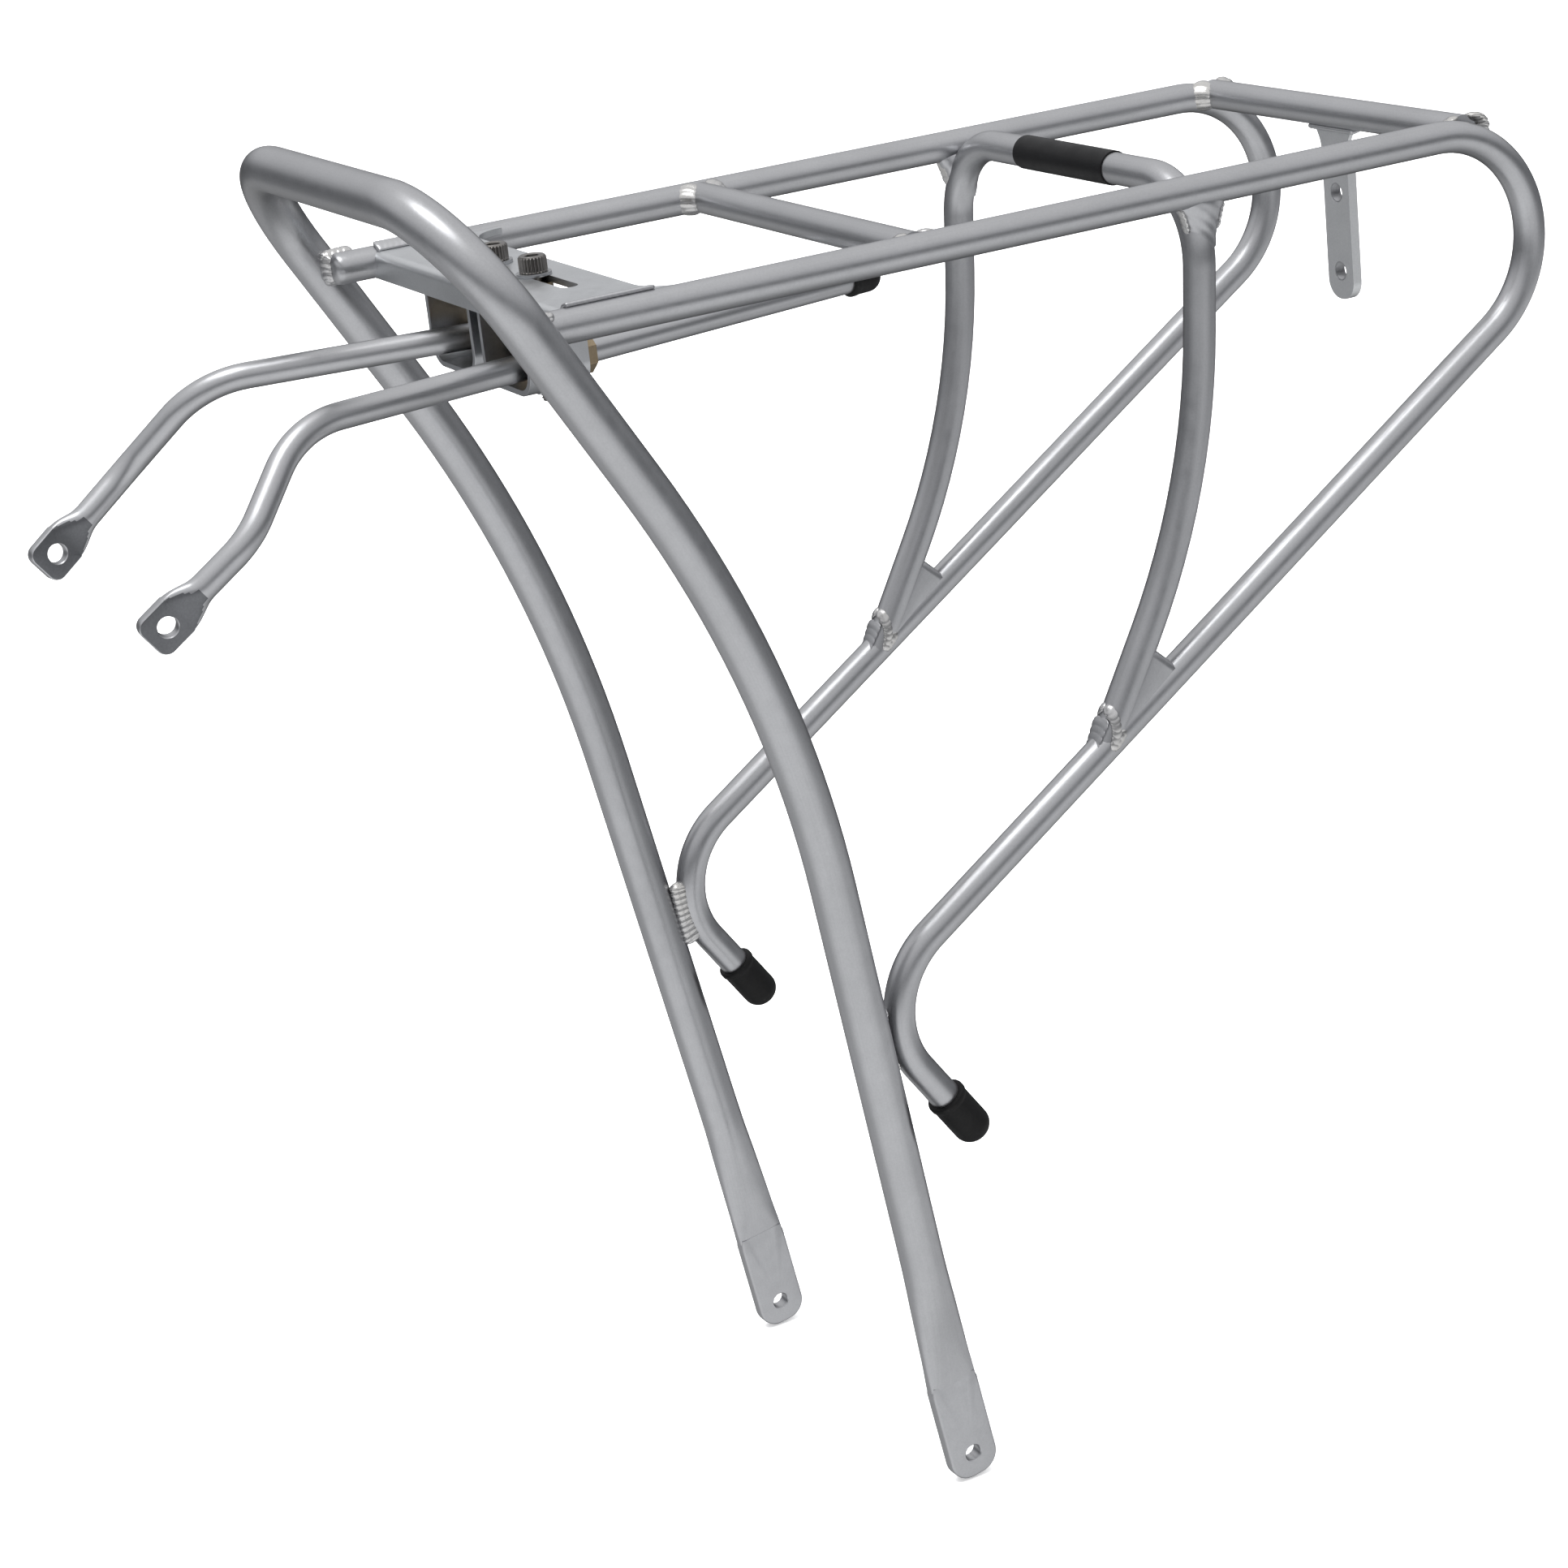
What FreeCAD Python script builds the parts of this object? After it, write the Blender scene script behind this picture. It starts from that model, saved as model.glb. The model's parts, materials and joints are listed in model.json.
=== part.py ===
import FreeCAD, Part
import math, os
from FreeCAD import Vector

# Bicycle rear rack, welded from aluminium tube, with two adjustable front stays.
# Frame: X lateral (+X is the bicycle's left), Y to the rear, Z up, millimetres.
# Origin: midway between the two lower mounting holes, on their common axis.
# "Deck coordinates" have y = 0 at the front end of the deck rails and z = 0 on
# the rail axes; front_y and deck_z carry them into the part frame.

doc = FreeCAD.newDocument("rear_rack")
sheet = doc.addObject("Spreadsheet::Sheet", "Dims")
# name, value in mm (degrees for names ending in _deg); _r is a radius, _t a
# thickness, _w a width, _bend the centreline radius of a tube bend
DIMS = [
    # overall placement
    ("front_y", -96.1), ("deck_z", 392.0),
    # main hoop: front inverted U that runs down to the lower mounting tabs
    ("hoop_r", 7.0), ("hoop_wall", 1.8),
    ("hoop_top_x", 82.6), ("hoop_top_y", -32.8), ("hoop_top_z", 37.8), ("hoop_top_bend", 37.7),
    ("hoop_mid_x", 83.6), ("hoop_mid_y", 51.4), ("hoop_mid_z", -109.2), ("hoop_mid_bend", 398.0),
    ("foot_x", 66.5), ("foot_neck_y", 91.85), ("foot_neck_z", -365.0), ("foot_taper", 56.0),
    ("foot_tab_w", 17.0), ("foot_tab_t", 5.0), ("foot_hole_r", 2.75), ("foot_end", 8.6),
    ("foot_corner", 6.8), ("foot_edge", 0.9), ("foot_lap", 1.5),
    # side rails: deck rail, rear bend, diagonal strut and lower bend in one tube
    ("rail_r", 5.0), ("rail_wall", 1.5), ("rail_x", 71.5),
    ("rail_start_y", -12.0), ("rail_corner_y", 423.1), ("rail_rear_bend", 35.0),
    ("strut_deg", 32.78), ("strut_end_y", 98.3), ("strut_low_bend", 30.4),
    ("rail_tip_deg", 303.5), ("rail_tip_len", 27.0),
    # cross tubes
    ("cross_r", 5.0), ("cross_wall", 1.5), ("mid_cross_y", 117.1), ("rear_cross_y", 317.0),
    # inner hoop and the band around its top run
    ("inner_r", 5.0), ("inner_wall", 1.5), ("inner_x", 71.2),
    ("inner_y", 215.2), ("inner_z", 1.7), ("inner_top_bend", 25.0),
    ("inner_mid_y", 208.0), ("inner_mid_z", -90.5), ("inner_mid_bend", 220.0),
    ("inner_end_y", 165.85), ("inner_end_z", -165.8),
    ("band_x", -1.0), ("band_len", 52.0), ("band_t", 0.45),
    # front plate
    ("plate_top", 3.7), ("plate_t", 2.0), ("plate_front", 2.5), ("plate_rear", 33.5),
    ("plate_half", 68.5), ("flange_drop", 8.2), ("gusset", 12.0), ("gusset_foot", 2.5),
    ("plate_bend", 2.6), ("plate_bend_in", 0.7),
    ("slot_w", 5.6), ("slot_in", 11.0), ("slot_out", 40.6), ("bolt_x", 14.0), ("bolt_y", 20.4),
    # clamp block
    ("toe_deg", 9.35), ("stay_off", 11.3), ("stay_z", -19.1), ("block_len", 13.0),
    ("block_in", 7.0), ("block_out", 7.0), ("block_h", 12.0), ("block_slit", 1.2),
    ("outer_chamfer", 3.4), ("low_chamfer", 3.2), ("top_chamfer", 1.6),
    ("neck_r", 5.3), ("neck_gap", 0.05), ("neck_sink", 0.5),
    # clamp stirrup
    ("stirrup_in", 3.0), ("stirrup_out", 36.8), ("stirrup_front", 5.3), ("stirrup_rear", 24.6),
    ("stirrup_t", 1.8), ("stirrup_bottom", -27.2), ("stirrup_bend", 8.0), ("stirrup_gap", 0.3),
    # clamp bolt, washer and nut; _af is the width across the flats
    ("bolt_r", 2.5), ("bolt_head_r", 4.25), ("bolt_head_h", 5.0), ("bolt_hole_r", 2.75),
    ("bolt_tail", 2.5), ("bolt_head_edge", 0.5), ("socket_af", 4.0), ("socket_deep", 2.6),
    ("washer_r", 5.3), ("washer_t", 1.0), ("washer_clear", 0.2),
    ("nut_af", 8.0), ("nut_t", 4.0), ("nut_bore_r", 2.55),
    ("nut_cone_ratio", 1.02), ("nut_cone_slope", 1.4),
    # stays: corner points a and b, front hole c
    ("stay_r", 4.0), ("stay_bore_r", 4.05), ("stay_rear_y", 135.6),
    ("stay_a_y", -67.5), ("stay_b_x", 54.2), ("stay_b_y", -90.6),
    ("stay_b_z", -43.4), ("stay_c_x", 51.0), ("stay_c_y", -116.9), ("stay_c_z", -62.4),
    ("stay_bend_a", 33.0), ("stay_bend_b", 25.5), ("stay_taper", 15.0), ("stay_flat", 6.5),
    ("stay_tab_w", 13.0), ("stay_tab_t", 4.0), ("stay_hole_r", 3.0), ("stay_end", 6.8),
    ("stay_corner", 3.4), ("stay_edge", 0.7), ("stay_lap", 1.0),
    ("stay_cap_r", 5.2), ("stay_cap_len", 11.7), ("stay_cap_wall", 2.0),
    # rubber foot caps of the rails
    ("cap_r", 6.15), ("cap_from_tip", 12.5), ("cap_len", 20.0),
    # reflector bracket
    ("strap_w", 13.8), ("strap_t", 1.5), ("strap_deep", 3.4),
    ("strap_top", -2.0), ("strap_bottom", -63.0),
    ("strap_hole_z", -27.0), ("strap_pitch", 26.5), ("strap_hole_r", 3.2),
    # growth of a tube surface that bounds its weld seams: general, plate, bracket
    ("weld", 1.9), ("weld_plate", 1.3), ("weld_strap", 1.5),
]
for row, (name, value) in enumerate(DIMS, start=1):
    sheet.set("A%d" % row, name)
    sheet.set("B%d" % row, repr(float(value)))
    sheet.setAlias("B%d" % row, name)
doc.recompute()


class Sizes:
    """The spreadsheet's values as attributes."""


size = Sizes()
for name, _ in DIMS:
    setattr(size, name, float(sheet.get(name)))

# Sections from the round tube (0) to the flat tab (1):
# position, half thickness, half width, superellipse exponent
FOOT_STATIONS = [
    (-0.04, 6.96, 6.96, 2.0), (0.0, 6.97, 6.97, 2.0), (0.22, 6.75, 7.15, 2.0),
    (0.45, 5.6, 7.7, 2.05), (0.68, 4.0, 8.1, 2.3), (0.88, 2.9, 8.35, 3.2),
    (1.0, 2.47, 8.45, 5.5),
]
STAY_STATIONS = [
    (-0.12, 3.96, 3.96, 2.0), (0.0, 3.97, 3.97, 2.0), (0.25, 3.75, 4.35, 2.0),
    (0.55, 2.9, 5.4, 2.2), (0.8, 2.25, 6.2, 2.8), (1.0, 1.97, 6.46, 5.0),
]

ORIGIN = Vector(0, 0, 0)
X_AXIS = Vector(1, 0, 0)
Z_AXIS = Vector(0, 0, 1)
TO_X = FreeCAD.Rotation(Vector(0, 1, 0), 90)     # turns a cylinder's axis to +X
TO_Y = FreeCAD.Rotation(X_AXIS, -90)             # turns a cylinder's axis to +Y
DIAGONAL = math.sqrt(0.5)


# ------------------------------------------------------------------ shape helpers
def deck_point(x, y, z):
    """Deck coordinates to the part frame."""
    return Vector(x, y + size.front_y, z + size.deck_z)


def flip_point(point):
    return Vector(-point.x, point.y, point.z)


def flip_shape(shape):
    return shape.mirror(ORIGIN, X_AXIS)


def feature(name, shape):
    obj = doc.addObject("Part::Feature", name)
    obj.Label = name
    obj.Shape = shape
    return obj


def largest(shape):
    return max(shape.Solids, key=lambda solid: solid.Volume)


def near(value, target):
    return abs(value - target) < 1e-3


def outline(start, *steps):
    """Wire from start; a step is the end of a line, or (through, end) of an arc."""
    edges = []
    for step in steps:
        if isinstance(step, tuple):
            edges.append(Part.Arc(start, *step).toShape())
            start = step[1]
        else:
            edges.append(Part.makeLine(start, step))
            start = step
    return Part.Wire(edges)


def rounded(points, radii):
    """List of edges: straight runs joined by tangent arcs at the corners."""
    edges = []
    last = points[0]
    for before, corner, after, radius in zip(points, points[1:], points[2:], radii):
        back = (before - corner).normalize()
        ahead = (after - corner).normalize()
        half_angle = back.getAngle(ahead) / 2
        setback = radius / math.tan(half_angle)
        arc_start = corner + back * setback
        arc_end = corner + ahead * setback
        inward = (back + ahead).normalize()
        arc_mid = corner + inward * (radius / math.sin(half_angle) - radius)
        if (arc_start - last).Length > 1e-6:
            edges.append(Part.makeLine(last, arc_start))
        edges.append(Part.Arc(arc_start, arc_mid, arc_end).toShape())
        last = arc_end
    edges.append(Part.makeLine(last, points[-1]))
    return edges


def pipe(edges, radius):
    """Solid round bar along the tangent chain of edges."""
    first = edges[0]
    start = first.valueAt(first.FirstParameter)
    tangent = first.tangentAt(first.FirstParameter)
    profile = Part.Wire([Part.makeCircle(radius, start, tangent)])
    bar = Part.Wire(edges).makePipeShell([profile], True, False)
    if bar.Volume < 0:
        bar.reverse()
    return bar


def tube(edges, radius, wall):
    """Hollow tube: straight runs extruded, bends revolved, then joined."""
    runs = []
    for edge in edges:
        start = edge.valueAt(edge.FirstParameter)
        end = edge.valueAt(edge.LastParameter)
        tangent = edge.tangentAt(edge.FirstParameter)
        circles = [Part.Wire([Part.makeCircle(r, start, tangent)])
                   for r in (radius, radius - wall)]
        ring = Part.makeFace(circles, "Part::FaceMakerBullseye")
        if edge.Curve.TypeId == "Part::GeomLine":
            run = ring.extrude(end - start)
        else:
            centre = edge.Curve.Center
            run = ring.revolve(centre, (start - centre).cross(tangent),
                               math.degrees(edge.Length / edge.Curve.Radius))
        run = run.Solids[0]
        if run.Volume < 0:
            run.reverse()
        runs.append(run)
    whole = runs[0].multiFuse(runs[1:]).removeSplitter()
    total = sum(run.Volume for run in runs)
    if abs(whole.Volume - total) > 0.002 * total or len(whole.Solids) != 1:
        raise RuntimeError("tube did not join: %g of %g" % (whole.Volume, total))
    return whole.Solids[0]


def superellipse(centre, axis_a, axis_b, half_a, half_b, exponent, count=28):
    """Closed smooth section with half sizes half_a, half_b along its two axes."""
    points = []
    for k in range(count):
        angle = 2 * math.pi * k / count
        cos, sin = math.cos(angle), math.sin(angle)
        a = math.copysign(abs(cos) ** (2.0 / exponent), cos) * half_a
        b = math.copysign(abs(sin) ** (2.0 / exponent), sin) * half_b
        points.append(centre + axis_a * a + axis_b * b)
    curve = Part.BSplineCurve()
    curve.interpolate(Points=points, PeriodicFlag=True)
    return Part.Wire([curve.toShape()])


def flat_tab(root, hole, along, across, normal, width, thick, end, corner, edge_round):
    """Plate from root past the hole centre, with rounded end corners and edges."""
    half = width / 2
    half_t = thick / 2
    straight = end - corner
    inner = half - corner
    bulge = corner * DIAGONAL

    def at(forward, sideways):
        return hole + along * forward + across * sideways

    start = root - across * half
    wire = outline(start, at(straight, -half),
                   (at(straight + bulge, -inner - bulge), at(end, -inner)),
                   at(end, inner),
                   (at(straight + bulge, inner + bulge), at(straight, half)),
                   root + across * half, start)
    wire.translate(normal * (-half_t))
    tab = Part.Face(wire).extrude(normal * (2 * half_t))
    # both outlines are rounded, except for the edges at the root
    return tab.makeFillet(edge_round, [
        edge for edge in tab.Edges
        if near(abs((edge.CenterOfMass - hole).dot(normal)), half_t)
        and (edge.CenterOfMass - root).Length > half_t + 0.5])


# ------------------------------------------------------------------ main hoop
hoop_top = deck_point(size.hoop_top_x, size.hoop_top_y, size.hoop_top_z)
hoop_mid = deck_point(size.hoop_mid_x, size.hoop_mid_y, size.hoop_mid_z)
foot_neck = deck_point(size.foot_x, size.foot_neck_y, size.foot_neck_z)
leg_dir = (foot_neck - hoop_mid).normalize()
taper_top = foot_neck - leg_dir * size.foot_taper

hoop_edges = rounded(
    [flip_point(taper_top), flip_point(hoop_mid), flip_point(hoop_top),
     hoop_top, hoop_mid, taper_top],
    [size.hoop_mid_bend, size.hoop_top_bend, size.hoop_top_bend, size.hoop_mid_bend])


def right_foot():
    """Flattened lower end of the right hoop leg, and the cutter of its hole."""
    neck = flip_point(foot_neck)
    top = flip_point(taper_top)
    top_dir = flip_point(leg_dir)
    hole = Vector(-size.foot_x, 0, 0)
    tab_dir = (hole - neck).normalize()
    sections = []
    for station, half_t, half_w, exponent in FOOT_STATIONS:
        blend = max(station, 0.0) ** 3
        along = (top_dir * (1 - blend) + tab_dir * blend).normalize()
        if station >= 0:
            centre = top + (neck - top) * station
        else:
            centre = top + top_dir * ((neck - top).Length * station)
        across = along.cross(X_AXIS).normalize()
        normal = across.cross(along).normalize()
        sections.append(superellipse(centre, normal, across, half_t, half_w, exponent))
    flare = Part.makeLoft(sections, True, False)
    if flare.Volume < 0:
        flare.reverse()
    tab = flat_tab(neck - tab_dir * size.foot_lap, hole, tab_dir,
                   tab_dir.cross(X_AXIS).normalize(), X_AXIS, size.foot_tab_w,
                   size.foot_tab_t, size.foot_end, size.foot_corner, size.foot_edge)
    cutter = Part.makeCylinder(size.foot_hole_r, 20, hole - X_AXIS * 10, X_AXIS)
    return flare.fuse(tab), cutter


foot, foot_hole = right_foot()
# filled hoop, used to trim the parts that meet it
hoop_solid = pipe(hoop_edges, size.hoop_r).fuse(foot).fuse(flip_shape(foot))
# right half, hollow down to the foot, then mirrored and joined on the centre plane
right_half_space = Part.makeBox(300, 600, 900, Vector(-300, -300, -100))
hoop_half = tube(hoop_edges, size.hoop_r, size.hoop_wall).common(right_half_space)
hoop_half = hoop_half.fuse(foot).cut(foot_hole).Solids[0]
main_hoop = feature("main_hoop",
                    hoop_half.fuse(flip_shape(hoop_half)).removeSplitter().Solids[0])


# ------------------------------------------------------------------ side rails
def rail_path():
    """Edges of the left rail from the front of the deck to the tip, tip and its direction."""
    slope = math.radians(size.strut_deg)
    strut_drop = (size.rail_corner_y - size.strut_end_y) * math.tan(slope)
    strut_end = deck_point(size.rail_x, size.strut_end_y, -strut_drop)
    edges = rounded([deck_point(size.rail_x, size.rail_start_y, 0),
                     deck_point(size.rail_x, size.rail_corner_y, 0), strut_end],
                    [size.rail_rear_bend])
    # lower bend; headings are measured in the YZ plane from +Y
    low_bend = size.strut_low_bend
    centre = strut_end + Vector(0, math.sin(slope), -math.cos(slope)) * low_bend
    tip_heading = math.radians(size.rail_tip_deg)

    def bend_point(heading):
        return centre + Vector(0, math.sin(heading), -math.cos(heading)) * low_bend

    bend_end = bend_point(tip_heading)
    tip_dir = Vector(0, math.cos(tip_heading), math.sin(tip_heading))
    tip = bend_end + tip_dir * size.rail_tip_len
    middle = bend_point((math.pi + slope + tip_heading) / 2)
    edges.append(Part.Arc(strut_end, middle, bend_end).toShape())
    edges.append(Part.makeLine(bend_end, tip))
    return edges, tip, tip_dir


def mirrored(name, source):
    obj = doc.addObject("Part::Mirroring", name)
    obj.Label = name
    obj.Source = source
    obj.Normal = X_AXIS
    obj.Base = ORIGIN
    return obj


rail_edges, rail_tip, rail_tip_dir = rail_path()
rail_outer = pipe(rail_edges, size.rail_r)
rail_outer_right = flip_shape(rail_outer)
left_rail = feature("left_side_rail", largest(
    tube(rail_edges, size.rail_r, size.rail_wall).cut(hoop_solid)))
right_rail = mirrored("right_side_rail", left_rail)


# ------------------------------------------------------------------ bound primitives
# Sizes and places are expressions on the spreadsheet. Places are in deck
# coordinates unless on_deck is False. Cutters overshoot by 1 or 2 mm at each end.
def bind(obj, **expressions):
    for prop, expression in expressions.items():
        obj.setExpression(prop, expression)


def place(obj, x, y, z, on_deck=True):
    if on_deck:
        y += "+Dims.front_y"
        z += "+Dims.deck_z"
    for axis, expression in zip("xyz", (x, y, z)):
        obj.setExpression("Placement.Base." + axis, expression)


def box(name, length, width, height, x, y, z, on_deck=True):
    obj = doc.addObject("Part::Box", name)
    bind(obj, Length=length, Width=width, Height=height)
    place(obj, x, y, z, on_deck)
    return obj


def cylinder(name, radius, height, x, y, z, turn=None, on_deck=True):
    obj = doc.addObject("Part::Cylinder", name)
    bind(obj, Radius=radius, Height=height)
    if turn is not None:
        obj.Placement = FreeCAD.Placement(ORIGIN, turn)
    place(obj, x, y, z, on_deck)
    return obj


def hexagon(name, across_flats, height, x, y, z):
    obj = doc.addObject("Part::Prism", name)
    obj.Polygon = 6
    bind(obj, Circumradius=across_flats + "/2/cos(30)", Height=height)
    place(obj, x, y, z)
    return obj


def fuse(name, *shapes):
    obj = doc.addObject("Part::MultiFuse", name)
    obj.Shapes = list(shapes)
    obj.Refine = True
    return obj


def cut(name, base, *tools, kind="Part::Cut"):
    tool = tools[0]
    if len(tools) > 1:
        tool = doc.addObject("Part::MultiFuse", name + "_tools")
        tool.Shapes = list(tools)
    obj = doc.addObject(kind, name)
    obj.Label = name
    obj.Base = base
    obj.Tool = tool
    return obj


def dress(kind, name, base, size_of):
    """Fillet or chamfer; size_of(edge) gives the size, or 0 to leave the edge."""
    doc.recompute()
    obj = doc.addObject(kind, name)
    obj.Base = base
    sized = [(i, size_of(edge)) for i, edge in enumerate(base.Shape.Edges, start=1)]
    obj.Edges = [(i, amount, amount) for i, amount in sized if amount]
    return obj


def fillet(name, base, radius, pick):
    return dress("Part::Fillet", name, base, lambda edge: radius if pick(edge) else 0)


def runs_along_y(edge):
    return abs(edge.tangentAt(edge.FirstParameter).y) > 0.9


# ------------------------------------------------------------------ cross tubes
rail_tool = feature("rail_tool", rail_outer)
rail_tool_right = feature("rail_tool_m", rail_outer_right)


def cross_tube(name, y):
    outer = cylinder(name + "_o", "Dims.cross_r", "2*Dims.rail_x",
                     "-Dims.rail_x", y, "0", TO_X)
    bore = cylinder(name + "_i", "Dims.cross_r-Dims.cross_wall", "2*Dims.rail_x+2",
                    "-Dims.rail_x-1", y, "0", TO_X)
    return cut(name, outer, bore, rail_tool, rail_tool_right)


mid_cross = cross_tube("mid_cross_tube", "Dims.mid_cross_y")
rear_cross = cross_tube("rear_cross_tube", "Dims.rear_cross_y")

# ------------------------------------------------------------------ inner hoop and band
inner_top = deck_point(size.inner_x, size.inner_y, size.inner_z)
inner_mid = deck_point(size.inner_x, size.inner_mid_y, size.inner_mid_z)
inner_end = deck_point(size.inner_x, size.inner_end_y, size.inner_end_z)
inner_edges = rounded(
    [flip_point(inner_end), flip_point(inner_mid), flip_point(inner_top),
     inner_top, inner_mid, inner_end],
    [size.inner_mid_bend, size.inner_top_bend, size.inner_top_bend, size.inner_mid_bend])
inner_outer = pipe(inner_edges, size.inner_r)
inner_tube = tube(inner_edges, size.inner_r, size.inner_wall)
inner_hoop = feature("inner_hoop", largest(inner_tube.cut(rail_outer).cut(rail_outer_right)))

band_outer = cylinder("band_o", "Dims.inner_r+Dims.band_t", "Dims.band_len",
                      "Dims.band_x-Dims.band_len/2", "Dims.inner_y", "Dims.inner_z", TO_X)
band_bore = cylinder("band_i", "Dims.inner_r", "Dims.band_len+2",
                     "Dims.band_x-Dims.band_len/2-1", "Dims.inner_y", "Dims.inner_z", TO_X)
cut("hoop_band", band_outer, band_bore)


# ------------------------------------------------------------------ front plate
def plate_blank():
    """Sheet with a front flange, and a concave gusset at each rear corner."""
    underside = "Dims.plate_top-Dims.plate_t"
    parts = [
        box("plate_sheet", "2*Dims.plate_half", "Dims.plate_rear-Dims.plate_front",
            "Dims.plate_t", "-Dims.plate_half", "Dims.plate_front", underside),
        box("plate_flange", "2*Dims.plate_half", "Dims.plate_t", "Dims.flange_drop",
            "-Dims.plate_half", "Dims.plate_front", "Dims.plate_top-Dims.flange_drop"),
    ]
    inner_x = "(Dims.plate_half-Dims.gusset-Dims.gusset_foot)"
    for side, sign, box_x in (("L", "", inner_x), ("R", "-", "-Dims.plate_half")):
        corner = box("gusset_" + side, "Dims.gusset+Dims.gusset_foot", "Dims.gusset+1",
                     "Dims.plate_t", box_x, "Dims.plate_rear-1", underside)
        hollow = cylinder("gusset_c_" + side, "Dims.gusset", "Dims.plate_t+2",
                          sign + inner_x, "Dims.plate_rear+Dims.gusset", underside + "-1")
        parts.append(cut("gusset_cut_" + side, corner, hollow))
    return fuse("plate_raw", *parts)


def bend_line(y, z):
    """Picks the long lateral edge at y, z of the deck."""
    line = deck_point(0, y, z)
    return lambda edge: (near(edge.CenterOfMass.z, line.z)
                         and near(edge.CenterOfMass.y, line.y) and edge.Length > 50)


def slot_cutters():
    cutters = []
    height, z = "Dims.plate_t+4", "Dims.plate_top-Dims.plate_t-2"
    inner_x = "(Dims.slot_in+Dims.slot_w/2)"
    outer_x = "(Dims.slot_out-Dims.slot_w/2)"
    for side, sign, box_x in (("L", "", inner_x), ("R", "-", "-" + outer_x)):
        cutters.append(box("slot_b_" + side, "Dims.slot_out-Dims.slot_in-Dims.slot_w",
                           "Dims.slot_w", height, box_x, "Dims.bolt_y-Dims.slot_w/2", z))
        for end, x in (("a", inner_x), ("b", outer_x)):
            cutters.append(cylinder("slot_%s_%s" % (end, side), "Dims.slot_w/2", height,
                                    sign + x, "Dims.bolt_y", z))
    return cutters


plate_outside = fillet("plate_bend", plate_blank(), size.plate_bend,
                       bend_line(size.plate_front, size.plate_top))
plate_bent = fillet("plate_bend_in", plate_outside, size.plate_bend_in,
                    bend_line(size.plate_front + size.plate_t, size.plate_top - size.plate_t))
plate = cut("front_plate", plate_bent, *slot_cutters(), rail_tool, rail_tool_right)


# ------------------------------------------------------------------ clamp stirrup
BOLT_AXIS = ("Dims.bolt_x", "Dims.bolt_y")


def bottom_edges(z):
    """Picks the edges along Y at height z of the deck."""
    return lambda edge: near(edge.CenterOfMass.z, z + size.deck_z) and runs_along_y(edge)


def clamp_stirrup():
    """U bracket under the slot, open towards the plate."""
    length = "Dims.stirrup_out-Dims.stirrup_in"
    width = "Dims.stirrup_rear-Dims.stirrup_front"
    height = "Dims.plate_top-Dims.plate_t-Dims.stirrup_gap-Dims.stirrup_bottom"
    outer = box("stir_outer", length, width, height,
                "Dims.stirrup_in", "Dims.stirrup_front", "Dims.stirrup_bottom")
    inner = box("stir_inner", length + "-2*Dims.stirrup_t", width + "+4", height + "+4",
                "Dims.stirrup_in+Dims.stirrup_t", "Dims.stirrup_front-2",
                "Dims.stirrup_bottom+Dims.stirrup_t")
    outer = fillet("stir_outer_f", outer, size.stirrup_bend,
                   bottom_edges(size.stirrup_bottom))
    inner = fillet("stir_inner_f", inner, size.stirrup_bend - size.stirrup_t,
                   bottom_edges(size.stirrup_bottom + size.stirrup_t))
    hole = cylinder("stir_hole", "Dims.bolt_hole_r", "Dims.stirrup_t+4",
                    *BOLT_AXIS, "Dims.stirrup_bottom-2")
    return cut("left_clamp_stirrup", outer, inner, hole)


stirrup = clamp_stirrup()


# ------------------------------------------------------------------ clamp block
def block_chamfer(edge):
    if not runs_along_y(edge):
        return 0
    if near(edge.CenterOfMass.x, size.stay_off + size.block_out):
        return size.outer_chamfer
    return size.low_chamfer if edge.CenterOfMass.z < 0 else size.top_chamfer


def clamp_block():
    """Slit block with a neck, built in its own frame and turned by the toe angle.

    Own frame: origin on the bolt axis at stay height, Y along the stay, X outwards.
    """
    blank = box("blk_box", "Dims.block_in+Dims.stay_off+Dims.block_out", "Dims.block_len",
                "Dims.block_h", "-Dims.block_in", "-Dims.block_len/2", "-Dims.block_h/2",
                on_deck=False)
    blank = dress("Part::Chamfer", "blk_chamfer", blank, block_chamfer)
    neck = cylinder("blk_neck", "Dims.neck_r",
                    "Dims.plate_top-Dims.plate_t-Dims.neck_gap-Dims.stay_z"
                    "-Dims.block_h/2+Dims.neck_sink",
                    "0", "0", "Dims.block_h/2-Dims.neck_sink", on_deck=False)
    body = fuse("blk_body", blank, neck)
    bore = cylinder("blk_bore", "Dims.stay_bore_r", "Dims.block_len+4",
                    "Dims.stay_off", "-Dims.block_len/2-2", "0", TO_Y, on_deck=False)
    hole = cylinder("blk_hole", "Dims.bolt_hole_r", "60", "0", "0", "-30", on_deck=False)
    slit = box("blk_slit", "Dims.block_in+Dims.stay_off+1", "Dims.block_len+4",
               "Dims.block_slit", "-Dims.block_in-1", "-Dims.block_len/2-2",
               "-Dims.block_slit/2", on_deck=False)
    obj = cut("left_clamp_block", body, bore, hole, slit)
    obj.Placement = FreeCAD.Placement(clamp_centre, FreeCAD.Rotation(Z_AXIS, size.toe_deg))
    return obj


clamp_centre = deck_point(size.bolt_x, size.bolt_y, size.stay_z)
block = clamp_block()


# ------------------------------------------------------------------ clamp washer, nut, bolt
def clamp_washer():
    disc = cylinder("wash_o", "Dims.washer_r", "Dims.washer_t", *BOLT_AXIS, "Dims.plate_top")
    bore = cylinder("wash_i", "Dims.bolt_r+Dims.washer_clear", "Dims.washer_t+2",
                    *BOLT_AXIS, "Dims.plate_top-1")
    return cut("left_clamp_washer", disc, bore)


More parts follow.
